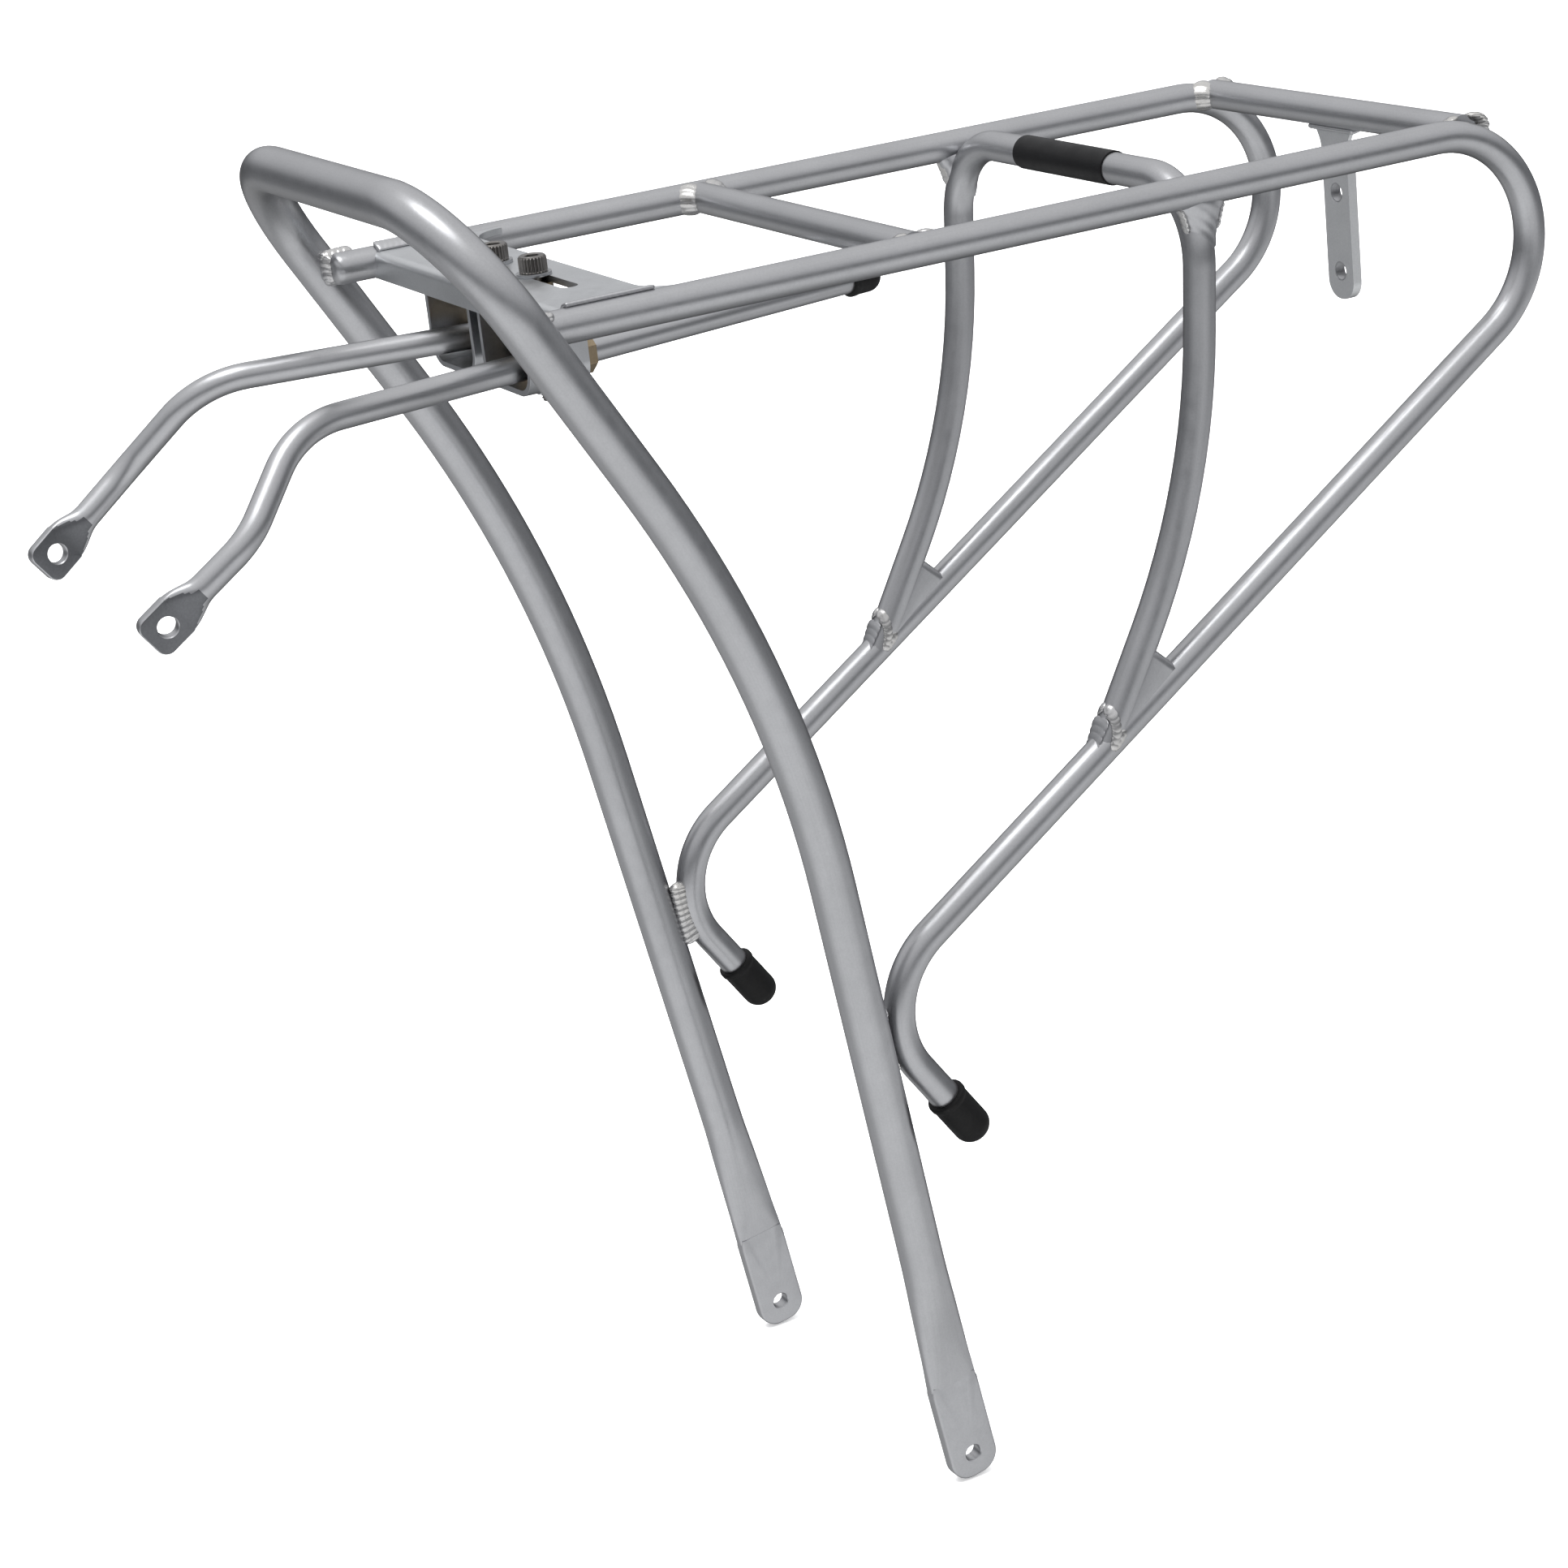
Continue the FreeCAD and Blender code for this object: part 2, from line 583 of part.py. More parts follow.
def clamp_nut():
    """Hexagon whose lower corners are trimmed by a cone that widens upwards."""
    bottom = "Dims.stirrup_bottom-Dims.nut_t"
    prism = hexagon("nut_hex", "Dims.nut_af", "Dims.nut_t", *BOLT_AXIS, bottom)
    cone = doc.addObject("Part::Cone", "nut_cone")
    low_radius = "Dims.nut_af/2*Dims.nut_cone_ratio"
    bind(cone, Radius1=low_radius, Radius2=low_radius + "+Dims.nut_t*Dims.nut_cone_slope",
         Height="Dims.nut_t")
    place(cone, *BOLT_AXIS, bottom)
    trimmed = cut("nut_com", prism, cone, kind="Part::Common")
    bore = cylinder("nut_bore", "Dims.nut_bore_r", "Dims.nut_t+4", *BOLT_AXIS, bottom + "-2")
    return cut("left_clamp_nut", trimmed, bore)


def clamp_bolt():
    """Socket-head bolt from above the washer to below the nut."""
    shank = cylinder("bolt_shank", "Dims.bolt_r",
                     "Dims.plate_top+Dims.washer_t-Dims.stirrup_bottom"
                     "+Dims.nut_t+Dims.bolt_tail",
                     *BOLT_AXIS, "Dims.stirrup_bottom-Dims.nut_t-Dims.bolt_tail")
    seat = "Dims.plate_top+Dims.washer_t"
    head = cylinder("bolt_head", "Dims.bolt_head_r", "Dims.bolt_head_h", *BOLT_AXIS, seat)
    head_top = size.plate_top + size.washer_t + size.bolt_head_h + size.deck_z
    head = fillet("bolt_head_f", head, size.bolt_head_edge,
                  lambda edge: edge.CenterOfMass.z > head_top - 1 and edge.Length > 20)
    socket = hexagon("bolt_socket", "Dims.socket_af", "Dims.socket_deep+1",
                     *BOLT_AXIS, seat + "+Dims.bolt_head_h-Dims.socket_deep")
    return cut("left_clamp_bolt", fuse("bolt_body", shank, head), socket)


washer = clamp_washer()
nut = clamp_nut()
bolt = clamp_bolt()

# ------------------------------------------------------------------ stays
toe = math.radians(size.toe_deg)
stay_dir = Vector(-math.sin(toe), math.cos(toe), 0)      # front to rear, straight run
outwards = Vector(math.cos(toe), math.sin(toe), 0)
stay_in_clamp = clamp_centre + outwards * size.stay_off


def on_stay_axis(y):
    """Point of the straight run at y of the deck."""
    return stay_in_clamp + stay_dir * ((y + size.front_y - stay_in_clamp.y) / stay_dir.y)


stay_rear = on_stay_axis(size.stay_rear_y)


def stay_shape():
    """Rod bent down at the front, flared into a flat tab with a hole."""
    corner_a = on_stay_axis(size.stay_a_y)
    corner_b = deck_point(size.stay_b_x, size.stay_b_y, size.stay_b_z)
    hole = deck_point(size.stay_c_x, size.stay_c_y, size.stay_c_z)
    along = (hole - corner_b).normalize()
    taper_start = hole - along * size.stay_taper
    flat_start = hole - along * size.stay_flat
    rod = pipe(rounded([stay_rear, corner_a, corner_b, taper_start],
                       [size.stay_bend_a, size.stay_bend_b]), size.stay_r)
    # tab normal, as near lateral as the rod allows
    normal = (X_AXIS - along * X_AXIS.dot(along)).normalize()
    across = along.cross(normal).normalize()
    flare = Part.makeLoft(
        [superellipse(taper_start + (flat_start - taper_start) * station,
                      normal, across, half_t, half_w, exponent)
         for station, half_t, half_w, exponent in STAY_STATIONS], True, False)
    tab = flat_tab(flat_start - along * size.stay_lap, hole, along, across, normal,
                   size.stay_tab_w, size.stay_tab_t, size.stay_end, size.stay_corner,
                   size.stay_edge)
    cutter = Part.makeCylinder(size.stay_hole_r, 20, hole - normal * 10, normal)
    return rod.fuse(flare).fuse(tab).removeSplitter().cut(cutter)


left_stay = feature("left_stay", stay_shape())


# ------------------------------------------------------------------ caps
def cap(name, tube_end, direction, radius, length, bore_r, bore_deep):
    """Blind cap with a rounded closed end; tube_end is the tube's end inside it."""
    dome = radius * 0.72
    flat = radius - dome
    shoulder = length - dome
    bulge = dome * DIAGONAL
    profile = outline(ORIGIN, Vector(radius, 0, 0), Vector(radius, 0, shoulder),
                      (Vector(flat + bulge, 0, shoulder + bulge), Vector(flat, 0, length)),
                      Vector(0, 0, length), ORIGIN)
    body = Part.Face(profile).revolve(ORIGIN, Z_AXIS, 360)
    body = body.cut(Part.makeCylinder(bore_r, bore_deep + 0.02))
    body.Placement = FreeCAD.Placement(tube_end - direction * bore_deep,
                                       FreeCAD.Rotation(Z_AXIS, direction))
    return feature(name, body)


left_stay_cap = cap("left_stay_cap", stay_rear, stay_dir, size.stay_cap_r, size.stay_cap_len,
                    size.stay_r, size.stay_cap_len - size.stay_cap_wall)
left_foot_cap = cap("left_foot_cap", rail_tip, rail_tip_dir, size.cap_r, size.cap_len,
                    size.rail_r, size.cap_from_tip)

# ------------------------------------------------------------------ reflector bracket
STRAP_CORNER = 0.92      # bottom corner radius over half width
FLARE_OUT = 5.5          # how far each side flares out at the top
FLARE_LIP = 1.5          # straight height above the flare
FLARE_DROP = 11.0        # from the top down to the start of the flare
FLARE_MID = (1.3, 6.6)   # point on the flare arc: outwards, down from the top


def strap_face(half, top, bottom, y, flared):
    """Upright face with rounded bottom corners and a flared or straight top."""
    radius = half * STRAP_CORNER
    inner = half - radius
    bulge = radius * DIAGONAL

    def at(x, z):
        return Vector(x, y, z)

    start = at(-half, bottom + radius)
    low_left, low_right = at(-half, top - FLARE_DROP), at(half, top - FLARE_DROP)
    if flared:
        wide = half + FLARE_OUT
        mid_x, mid_z = half + FLARE_MID[0], top - FLARE_MID[1]
        lip = top - FLARE_LIP
        head = [(at(-mid_x, mid_z), at(-wide, lip)), at(-wide, top), at(wide, top),
                at(wide, lip), (at(mid_x, mid_z), low_right)]
    else:
        head = [at(-half, top), at(half, top), low_right]
    corner_z = bottom + radius - bulge
    return Part.Face(outline(
        start, low_left, *head, at(half, bottom + radius),
        (at(inner + bulge, corner_z), at(inner, bottom)), at(-inner, bottom),
        (at(-inner - bulge, corner_z), start)))


cross_solid = Part.makeCylinder(size.cross_r, 2 * size.rail_x,
                                deck_point(-size.rail_x, size.rear_cross_y, 0), X_AXIS)


def reflector_strap():
    """Strap under the rear cross tube, dished from the rear, with two holes."""
    half = size.strap_w / 2
    front = size.rear_cross_y + size.front_y
    floor = front + size.strap_t
    top = size.deck_z + size.strap_top
    bottom = size.deck_z + size.strap_bottom
    depth = Vector(0, size.strap_deep, 0)
    strap = strap_face(half, top, bottom, front, True).extrude(depth)
    pocket = strap_face(half - size.strap_t, top + 10, bottom + size.strap_t,
                        floor, False).extrude(depth)
    pocket_top = Part.makeBox(60, size.strap_deep + 2, 14,
                              Vector(-30, floor, top - FLARE_DROP))
    strap = strap.cut(pocket).cut(pocket_top)
    for k in (0, 1):
        z = size.deck_z + size.strap_hole_z - k * size.strap_pitch
        strap = strap.cut(Part.makeCylinder(size.strap_hole_r, 20, Vector(0, front - 5, z),
                                            Vector(0, 1, 0)))
    strap = strap.cut(cross_solid)
    # the cross tube may part off scraps at the top
    return max((solid for solid in strap.Solids
                if solid.CenterOfMass.z < size.deck_z - 8), key=lambda solid: solid.Volume)


strap = reflector_strap()
bracket = feature("reflector_bracket", strap)

# ------------------------------------------------------------------ right-hand parts
for part, left in (("clamp_stirrup", stirrup), ("clamp_block", block), ("clamp_bolt", bolt),
                   ("clamp_washer", washer), ("clamp_nut", nut), ("stay", left_stay),
                   ("stay_cap", left_stay_cap), ("foot_cap", left_foot_cap)):
    mirrored("right_" + part, left)
doc.recompute()


# ------------------------------------------------------------------ weld seams
# A seam is where two thickened parts overlap inside a ball, less the parts.
def ball(x, y, z, radius):
    return Part.makeSphere(radius, deck_point(x, y, z))


def seam(first, second, where, parts):
    overlap = first.common(where).common(second.common(where))
    for part in parts:
        overlap = overlap.cut(part)
    return [solid for solid in overlap.Solids if solid.Volume > 0.8]


def cross_bar(radius, length, x, y):
    return Part.makeCylinder(radius, length, deck_point(x, y, 0), X_AXIS)


def left_seams():
    rail_big = pipe(rail_edges, size.rail_r + size.weld)
    hoop_big = pipe(hoop_edges, size.hoop_r + size.weld)
    inner_big = pipe(inner_edges, size.inner_r + size.weld)
    # deck rail to hoop leg
    seams = seam(rail_big, hoop_big, ball(77, -11, 0, 15),
                 [rail_outer, hoop_solid, plate.Shape])
    # lower bend to hoop leg
    seams += seam(rail_big, hoop_big, ball(71.5, 82, -236, 26), [rail_outer, hoop_solid])
    # cross tubes to rail
    for y in (size.mid_cross_y, size.rear_cross_y):
        seams += seam(rail_big, cross_bar(size.cross_r + size.weld, 30, 40, y),
                      ball(67, y, 0, 16), [rail_outer, cross_bar(size.cross_r, 60, 30, y)])
    # inner hoop under the rail, and its lower end on the strut
    for where in (ball(68, size.inner_y, -8, 15), ball(71.4, 176, -156, 34)):
        seams += seam(rail_big, inner_big, where, [rail_outer, inner_outer])
    # plate edge along the rail, stopping short of the plate's ends
    margin = 1.5
    edge_box = Part.makeBox(9, size.plate_rear - size.plate_front - 2 * margin, 3.6,
                            deck_point(62.5, size.plate_front + margin, size.plate_top - 0.2))
    seams += seam(pipe(rail_edges, size.rail_r + size.weld_plate), edge_box,
                  ball(68, 18, 3, 30), [rail_outer, plate.Shape, hoop_solid])
    return seams


def bracket_seams():
    """Seams of the reflector bracket under the rear cross tube."""
    grow = size.weld_strap
    half = size.strap_w / 2 + 5
    strap_big = Part.makeBox(2 * half, size.strap_t + 2 * grow, 16,
                             deck_point(-half, size.rear_cross_y - grow, -13))
    return seam(cross_bar(size.cross_r + grow, 40, -20, size.rear_cross_y), strap_big,
                ball(0, size.rear_cross_y, -4, 22), [cross_solid, strap])


def clear_of(bead, neighbours):
    """The bead without what reaches into a neighbour."""
    for other in neighbours:
        if bead.BoundBox.intersect(other.BoundBox) and bead.common(other).Volume > 1e-3:
            rest = bead.cut(other)
            if rest.Solids:
                bead = largest(rest)
    return bead


def merge_touching(beads):
    """Seams that meet each other become one bead."""
    merged = []
    for bead in beads:
        for i, other in enumerate(merged):
            if bead.BoundBox.intersect(other.BoundBox) and bead.common(other).Volume > 1e-4:
                merged[i] = other.fuse(bead)
                break
        else:
            merged.append(bead)
    return merged


beads = []
for left in left_seams():
    beads += [left, flip_shape(left)]
beads += bracket_seams()
neighbours = [obj.Shape for obj in (main_hoop, left_rail, right_rail, plate, mid_cross,
                                    rear_cross, inner_hoop, bracket)]
beads = merge_touching([clear_of(bead, neighbours) for bead in beads])
feature("weld_seams", Part.makeCompound([solid for bead in beads for solid in bead.Solids]))
doc.recompute()

# ------------------------------------------------------------------ export
SINGLE = ["main_hoop", "mid_cross_tube", "rear_cross_tube", "inner_hoop", "hoop_band",
          "front_plate", "reflector_bracket", "weld_seams"]
PAIRED = ["side_rail", "clamp_stirrup", "clamp_block", "clamp_bolt", "clamp_washer",
          "clamp_nut", "stay", "stay_cap", "foot_cap"]
NODES = SINGLE + [side + part for part in PAIRED for side in ("left_", "right_")]

for obj in doc.Objects:
    if "Invalid" in obj.State or "Error" in obj.State:
        raise RuntimeError("bad state: %s %s" % (obj.Name, obj.State))
os.makedirs("parts", exist_ok=True)
for node in NODES:
    shape = doc.getObject(node).Shape
    if shape.isNull() or not shape.isValid():
        raise RuntimeError("bad shape: " + node)
    shape.exportStep("parts/%s.step" % node)
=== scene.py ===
"""A tubular cycle rack in satin silver, standing as it is fitted.

+X is the rack's left, +Y its rear and +Z is up. The deck of two side rails and two cross
tubes is level at DECK_Z. The main hoop rises in front of it and runs down to two foot tabs.
Two stays reach forward from clamps under the deck. Shapes are worked out in millimetres
and turned into metres when a mesh is made; the stage, lights and camera are in metres.
"""

import json
import math

import bmesh
import bpy
import numpy as np
from mathutils import Matrix, Vector


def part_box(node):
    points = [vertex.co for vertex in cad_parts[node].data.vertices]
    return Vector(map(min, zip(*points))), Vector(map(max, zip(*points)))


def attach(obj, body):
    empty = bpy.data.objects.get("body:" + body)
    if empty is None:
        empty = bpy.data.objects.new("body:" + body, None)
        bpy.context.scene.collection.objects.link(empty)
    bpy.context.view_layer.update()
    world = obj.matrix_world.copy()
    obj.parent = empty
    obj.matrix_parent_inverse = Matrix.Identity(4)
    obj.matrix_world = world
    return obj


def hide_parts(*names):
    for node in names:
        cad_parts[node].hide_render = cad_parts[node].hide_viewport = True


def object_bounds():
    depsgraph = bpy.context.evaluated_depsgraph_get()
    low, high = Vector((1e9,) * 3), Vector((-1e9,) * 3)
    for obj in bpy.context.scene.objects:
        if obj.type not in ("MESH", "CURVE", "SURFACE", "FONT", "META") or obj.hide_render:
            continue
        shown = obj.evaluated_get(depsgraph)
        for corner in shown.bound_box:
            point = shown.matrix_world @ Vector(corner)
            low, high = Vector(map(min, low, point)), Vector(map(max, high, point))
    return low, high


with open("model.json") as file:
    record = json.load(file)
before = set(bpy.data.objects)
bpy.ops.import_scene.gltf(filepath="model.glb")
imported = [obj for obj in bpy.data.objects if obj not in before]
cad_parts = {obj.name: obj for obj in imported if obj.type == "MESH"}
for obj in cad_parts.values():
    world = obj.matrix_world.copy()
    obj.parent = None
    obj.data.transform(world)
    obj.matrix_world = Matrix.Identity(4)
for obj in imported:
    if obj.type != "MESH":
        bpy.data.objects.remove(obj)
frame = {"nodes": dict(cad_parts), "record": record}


def plain(box):
    return [[float(x) for x in corner] for corner in box]


CAD_BOX = plain(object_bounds())
NODES = frame["nodes"]
SLOT = {part["node"]: part["material_slot"] for part in frame["record"]["subparts"]}
BODY = {name: body for body, names in frame["record"]["behaviour"]["bodies"].items()
        for name in names}
SCENE = bpy.context.scene
MM = 0.001


def vec(*parts):
    return np.array(parts, float)


def unit(v):
    v = np.asarray(v, float)
    return v / np.linalg.norm(v)


# ---------------------------------------------------------------- driving dimensions, mm
X_AXIS = vec(1, 0, 0)
FRONT_Y = -96.1                 # lengths along the deck start here
DECK_Z = 392.0                  # axis height of the rails and cross tubes
TUBE_R = 5.0                    # rails, cross tubes and inner hoop
HOOP_R = 7.0
STAY_R = 4.0

# main hoop, left half: top corner, knee, start of the foot, foot hole
HOOP_TOP = vec(82.6, FRONT_Y - 32.8, DECK_Z + 37.8)
HOOP_KNEE = vec(83.6, FRONT_Y + 51.4, DECK_Z - 109.2)
HOOP_FOOT = vec(66.5, FRONT_Y + 91.85, DECK_Z - 365.0)
HOOP_HOLE = vec(66.5, 0, 0)

# side rails: level, then bent back under the deck as a strut sloping down to the front
RAIL_X = 71.5
RAIL_REAR = 423.1
STRUT_END = 98.3
STRUT_SLOPE = math.radians(32.78)
STRUT_UP = vec(0, math.cos(STRUT_SLOPE), math.sin(STRUT_SLOPE))
STRUT_UNDER = vec(0, math.sin(STRUT_SLOPE), -math.cos(STRUT_SLOPE))
LOWER_BEND_R = 30.4
CROSS_TUBES = {"mid_cross": 117.1, "rear_cross": 317.0}

# inner hoop, left half: top corner, bend, toe on the strut
INNER_TOP = vec(71.2, 119.1, 393.7)
INNER_BEND = vec(71.2, 111.9, 301.5)
INNER_TOE = vec(71.2, 69.75, 226.2)

# clamp screws, left and right of the middle
SCREW_X = 14.0
SCREW_Y = FRONT_Y + 20.4


# ---------------------------------------------------------------- materials
def feed(tree, target, inputs):
    """set a node's inputs: a socket is linked, anything else is a value"""
    for key, value in inputs.items():
        if isinstance(value, bpy.types.NodeSocket):
            tree.links.new(value, target.inputs[key])
        else:
            target.inputs[key].default_value = value


def node(tree, kind, inputs=None, **settings):
    made = tree.nodes.new("ShaderNode" + kind)
    for name, value in settings.items():
        setattr(made, name, value)
    feed(tree, made, inputs or {})
    return made


def new_material(name):
    material = bpy.data.materials.new(name)
    material.use_nodes = True
    tree = material.node_tree
    tree.nodes.clear()
    output = node(tree, "OutputMaterial")
    shader = node(tree, "BsdfPrincipled")
    feed(tree, output, {0: shader.outputs[0]})
    return material, tree, shader


def grey(value):
    return (value,) * 3


def ramp(tree, source, stops):
    made = node(tree, "ValToRGB", {0: source})
    elements = made.color_ramp.elements
    while len(elements) < len(stops):
        elements.new(0.5)
    for element, (position, colour) in zip(elements, stops):
        element.position = position
        element.color = (*colour, 1)
    return made.outputs[0]


def noise(tree, vector, scale, detail, rough):
    made = node(tree, "TexNoise", {"Scale": scale, "Detail": detail, "Roughness": rough,
                                   "Vector": vector})
    return made.outputs["Fac"]


def multiply(tree, first, second):
    made = node(tree, "MixRGB", {0: 1.0, 1: first, 2: second}, blend_type="MULTIPLY")
    return made.outputs[0]


def bump(tree, height, strength, distance):
    made = node(tree, "Bump", {"Strength": strength, "Distance": distance, "Height": height})
    return made.outputs[0]


def metal(name, base, rough, grain, tone, drawn=0.0, tint=None):
    """satin metal: slow change of tone, fine grain, drawn lines along a tube (from its UV)"""
    material, tree, shader = new_material(name)
    coords = node(tree, "TexCoord")
    place = coords.outputs["Object"]
    slow = noise(tree, place, scale=30.0, detail=3.0, rough=0.55)
    fine = noise(tree, place, scale=1500.0, detail=2.0, rough=0.6)
    middle = noise(tree, place, scale=260.0, detail=3.0, rough=0.6)
    low = tuple(c * (1 - tone) for c in base)
    high = tuple(c * (1 + tone) for c in (tint or base))
    tones = ramp(tree, slow, [(0.35, low), (0.65, high)])
    grains = ramp(tree, fine, [(0.3, grey(1 - grain)), (0.7, grey(1.0))])
    colour = multiply(tree, tones, grains)
    height = fine
    if drawn:
        stretched = node(tree, "Mapping", {"Scale": (90.0, 1.2, 1.0),
                                           "Vector": coords.outputs["UV"]})
        lines = noise(tree, stretched.outputs[0], scale=1.0, detail=3.0, rough=0.6)
        shades = ramp(tree, lines, [(0.3, grey(1 - drawn)), (0.7, grey(1.0))])
        colour = multiply(tree, colour, shades)
        height = node(tree, "Math", {0: lines, 1: 0.6, 2: fine},
                      operation="MULTIPLY_ADD").outputs[0]
    gloss = ramp(tree, middle, [(0.3, grey(rough - 0.03)), (0.7, grey(rough + 0.04))])
    feed(tree, shader, {"Base Color": colour, "Metallic": 1.0, "Roughness": gloss,
                        "Normal": bump(tree, height, strength=0.3, distance=0.000004)})
    return material


def dark(name, base, rough, specular, scale, distance, strength):
    """black rubber or film: fine mottled grain, with patches that shine differently"""
    material, tree, shader = new_material(name)
    place = node(tree, "TexCoord").outputs["Object"]
    fine = noise(tree, place, scale=scale, detail=4.0, rough=0.65)
    slow = noise(tree, place, scale=90.0, detail=3.0, rough=0.6)
    colour = ramp(tree, fine, [(0.3, tuple(c * 0.7 for c in base)),
                               (0.72, tuple(c * 1.4 for c in base))])
    gloss = ramp(tree, slow, [(0.3, grey(rough - 0.07)), (0.7, grey(rough + 0.08))])
    feed(tree, shader, {"Base Color": colour, "Roughness": gloss,
                        "Specular IOR Level": specular,
                        "Normal": bump(tree, fine, strength, distance)})
    return material


MATERIALS = {
    "frame_metal": metal("satin_silver", base=(0.47, 0.475, 0.49), rough=0.34, grain=0.07,
                         tone=0.03, drawn=0.05),
    "weld": metal("weld_silver", base=(0.58, 0.58, 0.59), rough=0.27, grain=0.08, tone=0.06,
                  tint=(0.60, 0.59, 0.57)),
    "stay_metal": metal("stay_silver", base=(0.48, 0.485, 0.50), rough=0.34, grain=0.05,
                        tone=0.03, drawn=0.04),
    "bright_steel": metal("bright_steel", base=(0.45, 0.46, 0.475), rough=0.34, grain=0.05,
                          tone=0.03),
    "gold_zinc": metal("gold_zinc", base=(0.30, 0.23, 0.14), rough=0.38, grain=0.10,
                       tone=0.10, tint=(0.36, 0.29, 0.20)),
    "bolt_steel": metal("bolt_steel", base=(0.24, 0.23, 0.22), rough=0.30, grain=0.05,
                        tone=0.05),
    "cap_rubber": dark("cap_rubber", base=(0.0035, 0.0035, 0.0038), rough=0.55,
                       specular=0.22, scale=900.0, distance=0.00006, strength=0.35),
    "band": dark("black_film", base=(0.0025, 0.0025, 0.003), rough=0.45, specular=0.2,
                 scale=1600.0, distance=0.00002, strength=0.2),
}
PLATE = metal("rolled_sheet", base=(0.64, 0.655, 0.67), rough=0.38, grain=0.06, tone=0.03)
STRAP = metal("pressed_strap", base=(0.74, 0.75, 0.76), rough=0.50, grain=0.06, tone=0.03)
SEAM = metal("plain_seam", base=(0.52, 0.525, 0.54), rough=0.33, grain=0.07, tone=0.04)
# the tab flats' dark base colour is painted shade, a dark reflection painted in; the higher
# roughness is their duller pressed surface
PAINTED_DARK_TAB = metal("tab_flat_painted_dark", base=(0.17, 0.175, 0.185), rough=0.42, grain=0.12, tone=0.10)
SHEET = {"front_plate": PLATE, "reflector_bracket": STRAP}


def smooth(mesh):
    for polygon in mesh.polygons:
        polygon.use_smooth = True


for name, cad in NODES.items():
    cad.data.materials.clear()
    cad.data.materials.append(MATERIALS[SLOT[name]])
    smooth(cad.data)


# ---------------------------------------------------------------- paths and sections
def square_to(direction, axis):
    """the unit part of a direction that lies square to a unit axis"""
    return unit(direction - axis * float(direction @ axis))


def rounded(points, radii):
    """straight runs between points, joined by tangent arcs of the given radii"""
    corners = [vec(*p) for p in points]
    path = [corners[0]]

    def line_to(end):
        start = path[-1]
        steps = max(1, int(round(np.linalg.norm(end - start) / 7.0)))
        for i in range(1, steps + 1):
            path.append(start + (end - start) * i / steps)

    for before, corner, after, radius in zip(corners, corners[1:], corners[2:], radii):
        u, w = unit(before - corner), unit(after - corner)
        angle = math.acos(max(-1.0, min(1.0, float(u @ w))))
        setback = radius / math.tan(angle / 2)
        arc_start, arc_end = corner + u * setback, corner + w * setback
        centre = corner + unit(u + w) * (radius / math.sin(angle / 2))
        line_to(arc_start)
        turn = math.pi - angle
        steps = max(int(math.degrees(turn) / 2.5) + 1, int(radius * turn / 8) + 1)
        e1 = unit(arc_start - centre)
        e2 = np.cross(unit(np.cross(e1, unit(arc_end - centre))), e1)
        for k in range(1, steps + 1):
            t = turn * k / steps
            path.append(centre + radius * (e1 * math.cos(t) + e2 * math.sin(t)))
    line_to(corners[-1])
    return np.array(path)


def tangents(path):
    steps = np.gradient(path, axis=0)
    return steps / np.linalg.norm(steps, axis=1)[:, None]


def carry(along, first):
    """side directions carried along a path without twist, from its first tangent"""
    sides = [square_to(first, along[0])]
    for tangent in along[1:]:
        sides.append(square_to(sides[-1], tangent))
    return np.array(sides)


def turn_angles(seg):
    return np.arange(seg) * 2 * math.pi / seg


def section(centre, x_dir, y_dir, x_half, y_half, power, seg):
    """a superellipse: power 2 is an ellipse, higher powers are squarer"""
    angle = turn_angles(seg)
    c, s = np.cos(angle), np.sin(angle)
    x = np.sign(c) * np.abs(c) ** (2.0 / power) * x_half
    y = np.sign(s) * np.abs(s) ** (2.0 / power) * y_half
    return centre + x[:, None] * x_dir + y[:, None] * y_dir


def round_rings(path, along, sides, radii, seg):
    across = np.cross(along, sides)
    return [section(path[i], sides[i], across[i], radii[i], radii[i], 2.0, seg)
            for i in range(len(path))]


def eased(rows, count):
    """rows (place, values...) resampled with cubic easing between rows"""
    rows = np.array(rows, float)
    place, values = rows[:, 0], rows[:, 1:]
    slope = np.gradient(values, place, axis=0)
    result = []
    for x in np.linspace(place[0], place[-1], count):
        i = min(max(int(np.searchsorted(place, x)) - 1, 0), len(place) - 2)
        gap = place[i + 1] - place[i]
        t = (x - place[i]) / gap
        result.append((x, *((2 * t**3 - 3 * t**2 + 1) * values[i]
                            + (t**3 - 2 * t**2 + t) * gap * slope[i]
                            + (-2 * t**3 + 3 * t**2) * values[i + 1]
                            + (t**3 - t**2) * gap * slope[i + 1])))
    return result


# ---------------------------------------------------------------- parts: vertices, faces, uv
def skin(rings, close=False, caps=(True, True)):
    """faces between rings of equal count, closed in a loop or capped at the ends"""
    seg, count = len(rings[0]), len(rings)
    verts = np.concatenate(rings)
    faces = []
    for i in range(count if close else count - 1):
        a, b = i * seg, ((i + 1) % count) * seg
        for k in range(seg):
            k2 = (k + 1) % seg
            faces.append((a + k, a + k2, b + k2, b + k))
    length = [0.0]
    for p, q in zip(rings[:-1], rings[1:]):
        length.append(length[-1] + float(np.linalg.norm(q.mean(0) - p.mean(0))))
    uv = np.array([(k / seg, run / 100.0) for run in length for k in range(seg)])
    for end, capped in zip((0, count - 1), () if close else caps):
        if capped:
            middle = len(verts)
            verts = np.vstack([verts, rings[end].mean(0)[None]])
            uv = np.vstack([uv, [[0.5, length[end] / 100.0]]])
            for k in range(seg):
                faces.append((end * seg + k, end * seg + (k + 1) % seg, middle))
    return verts, faces, uv


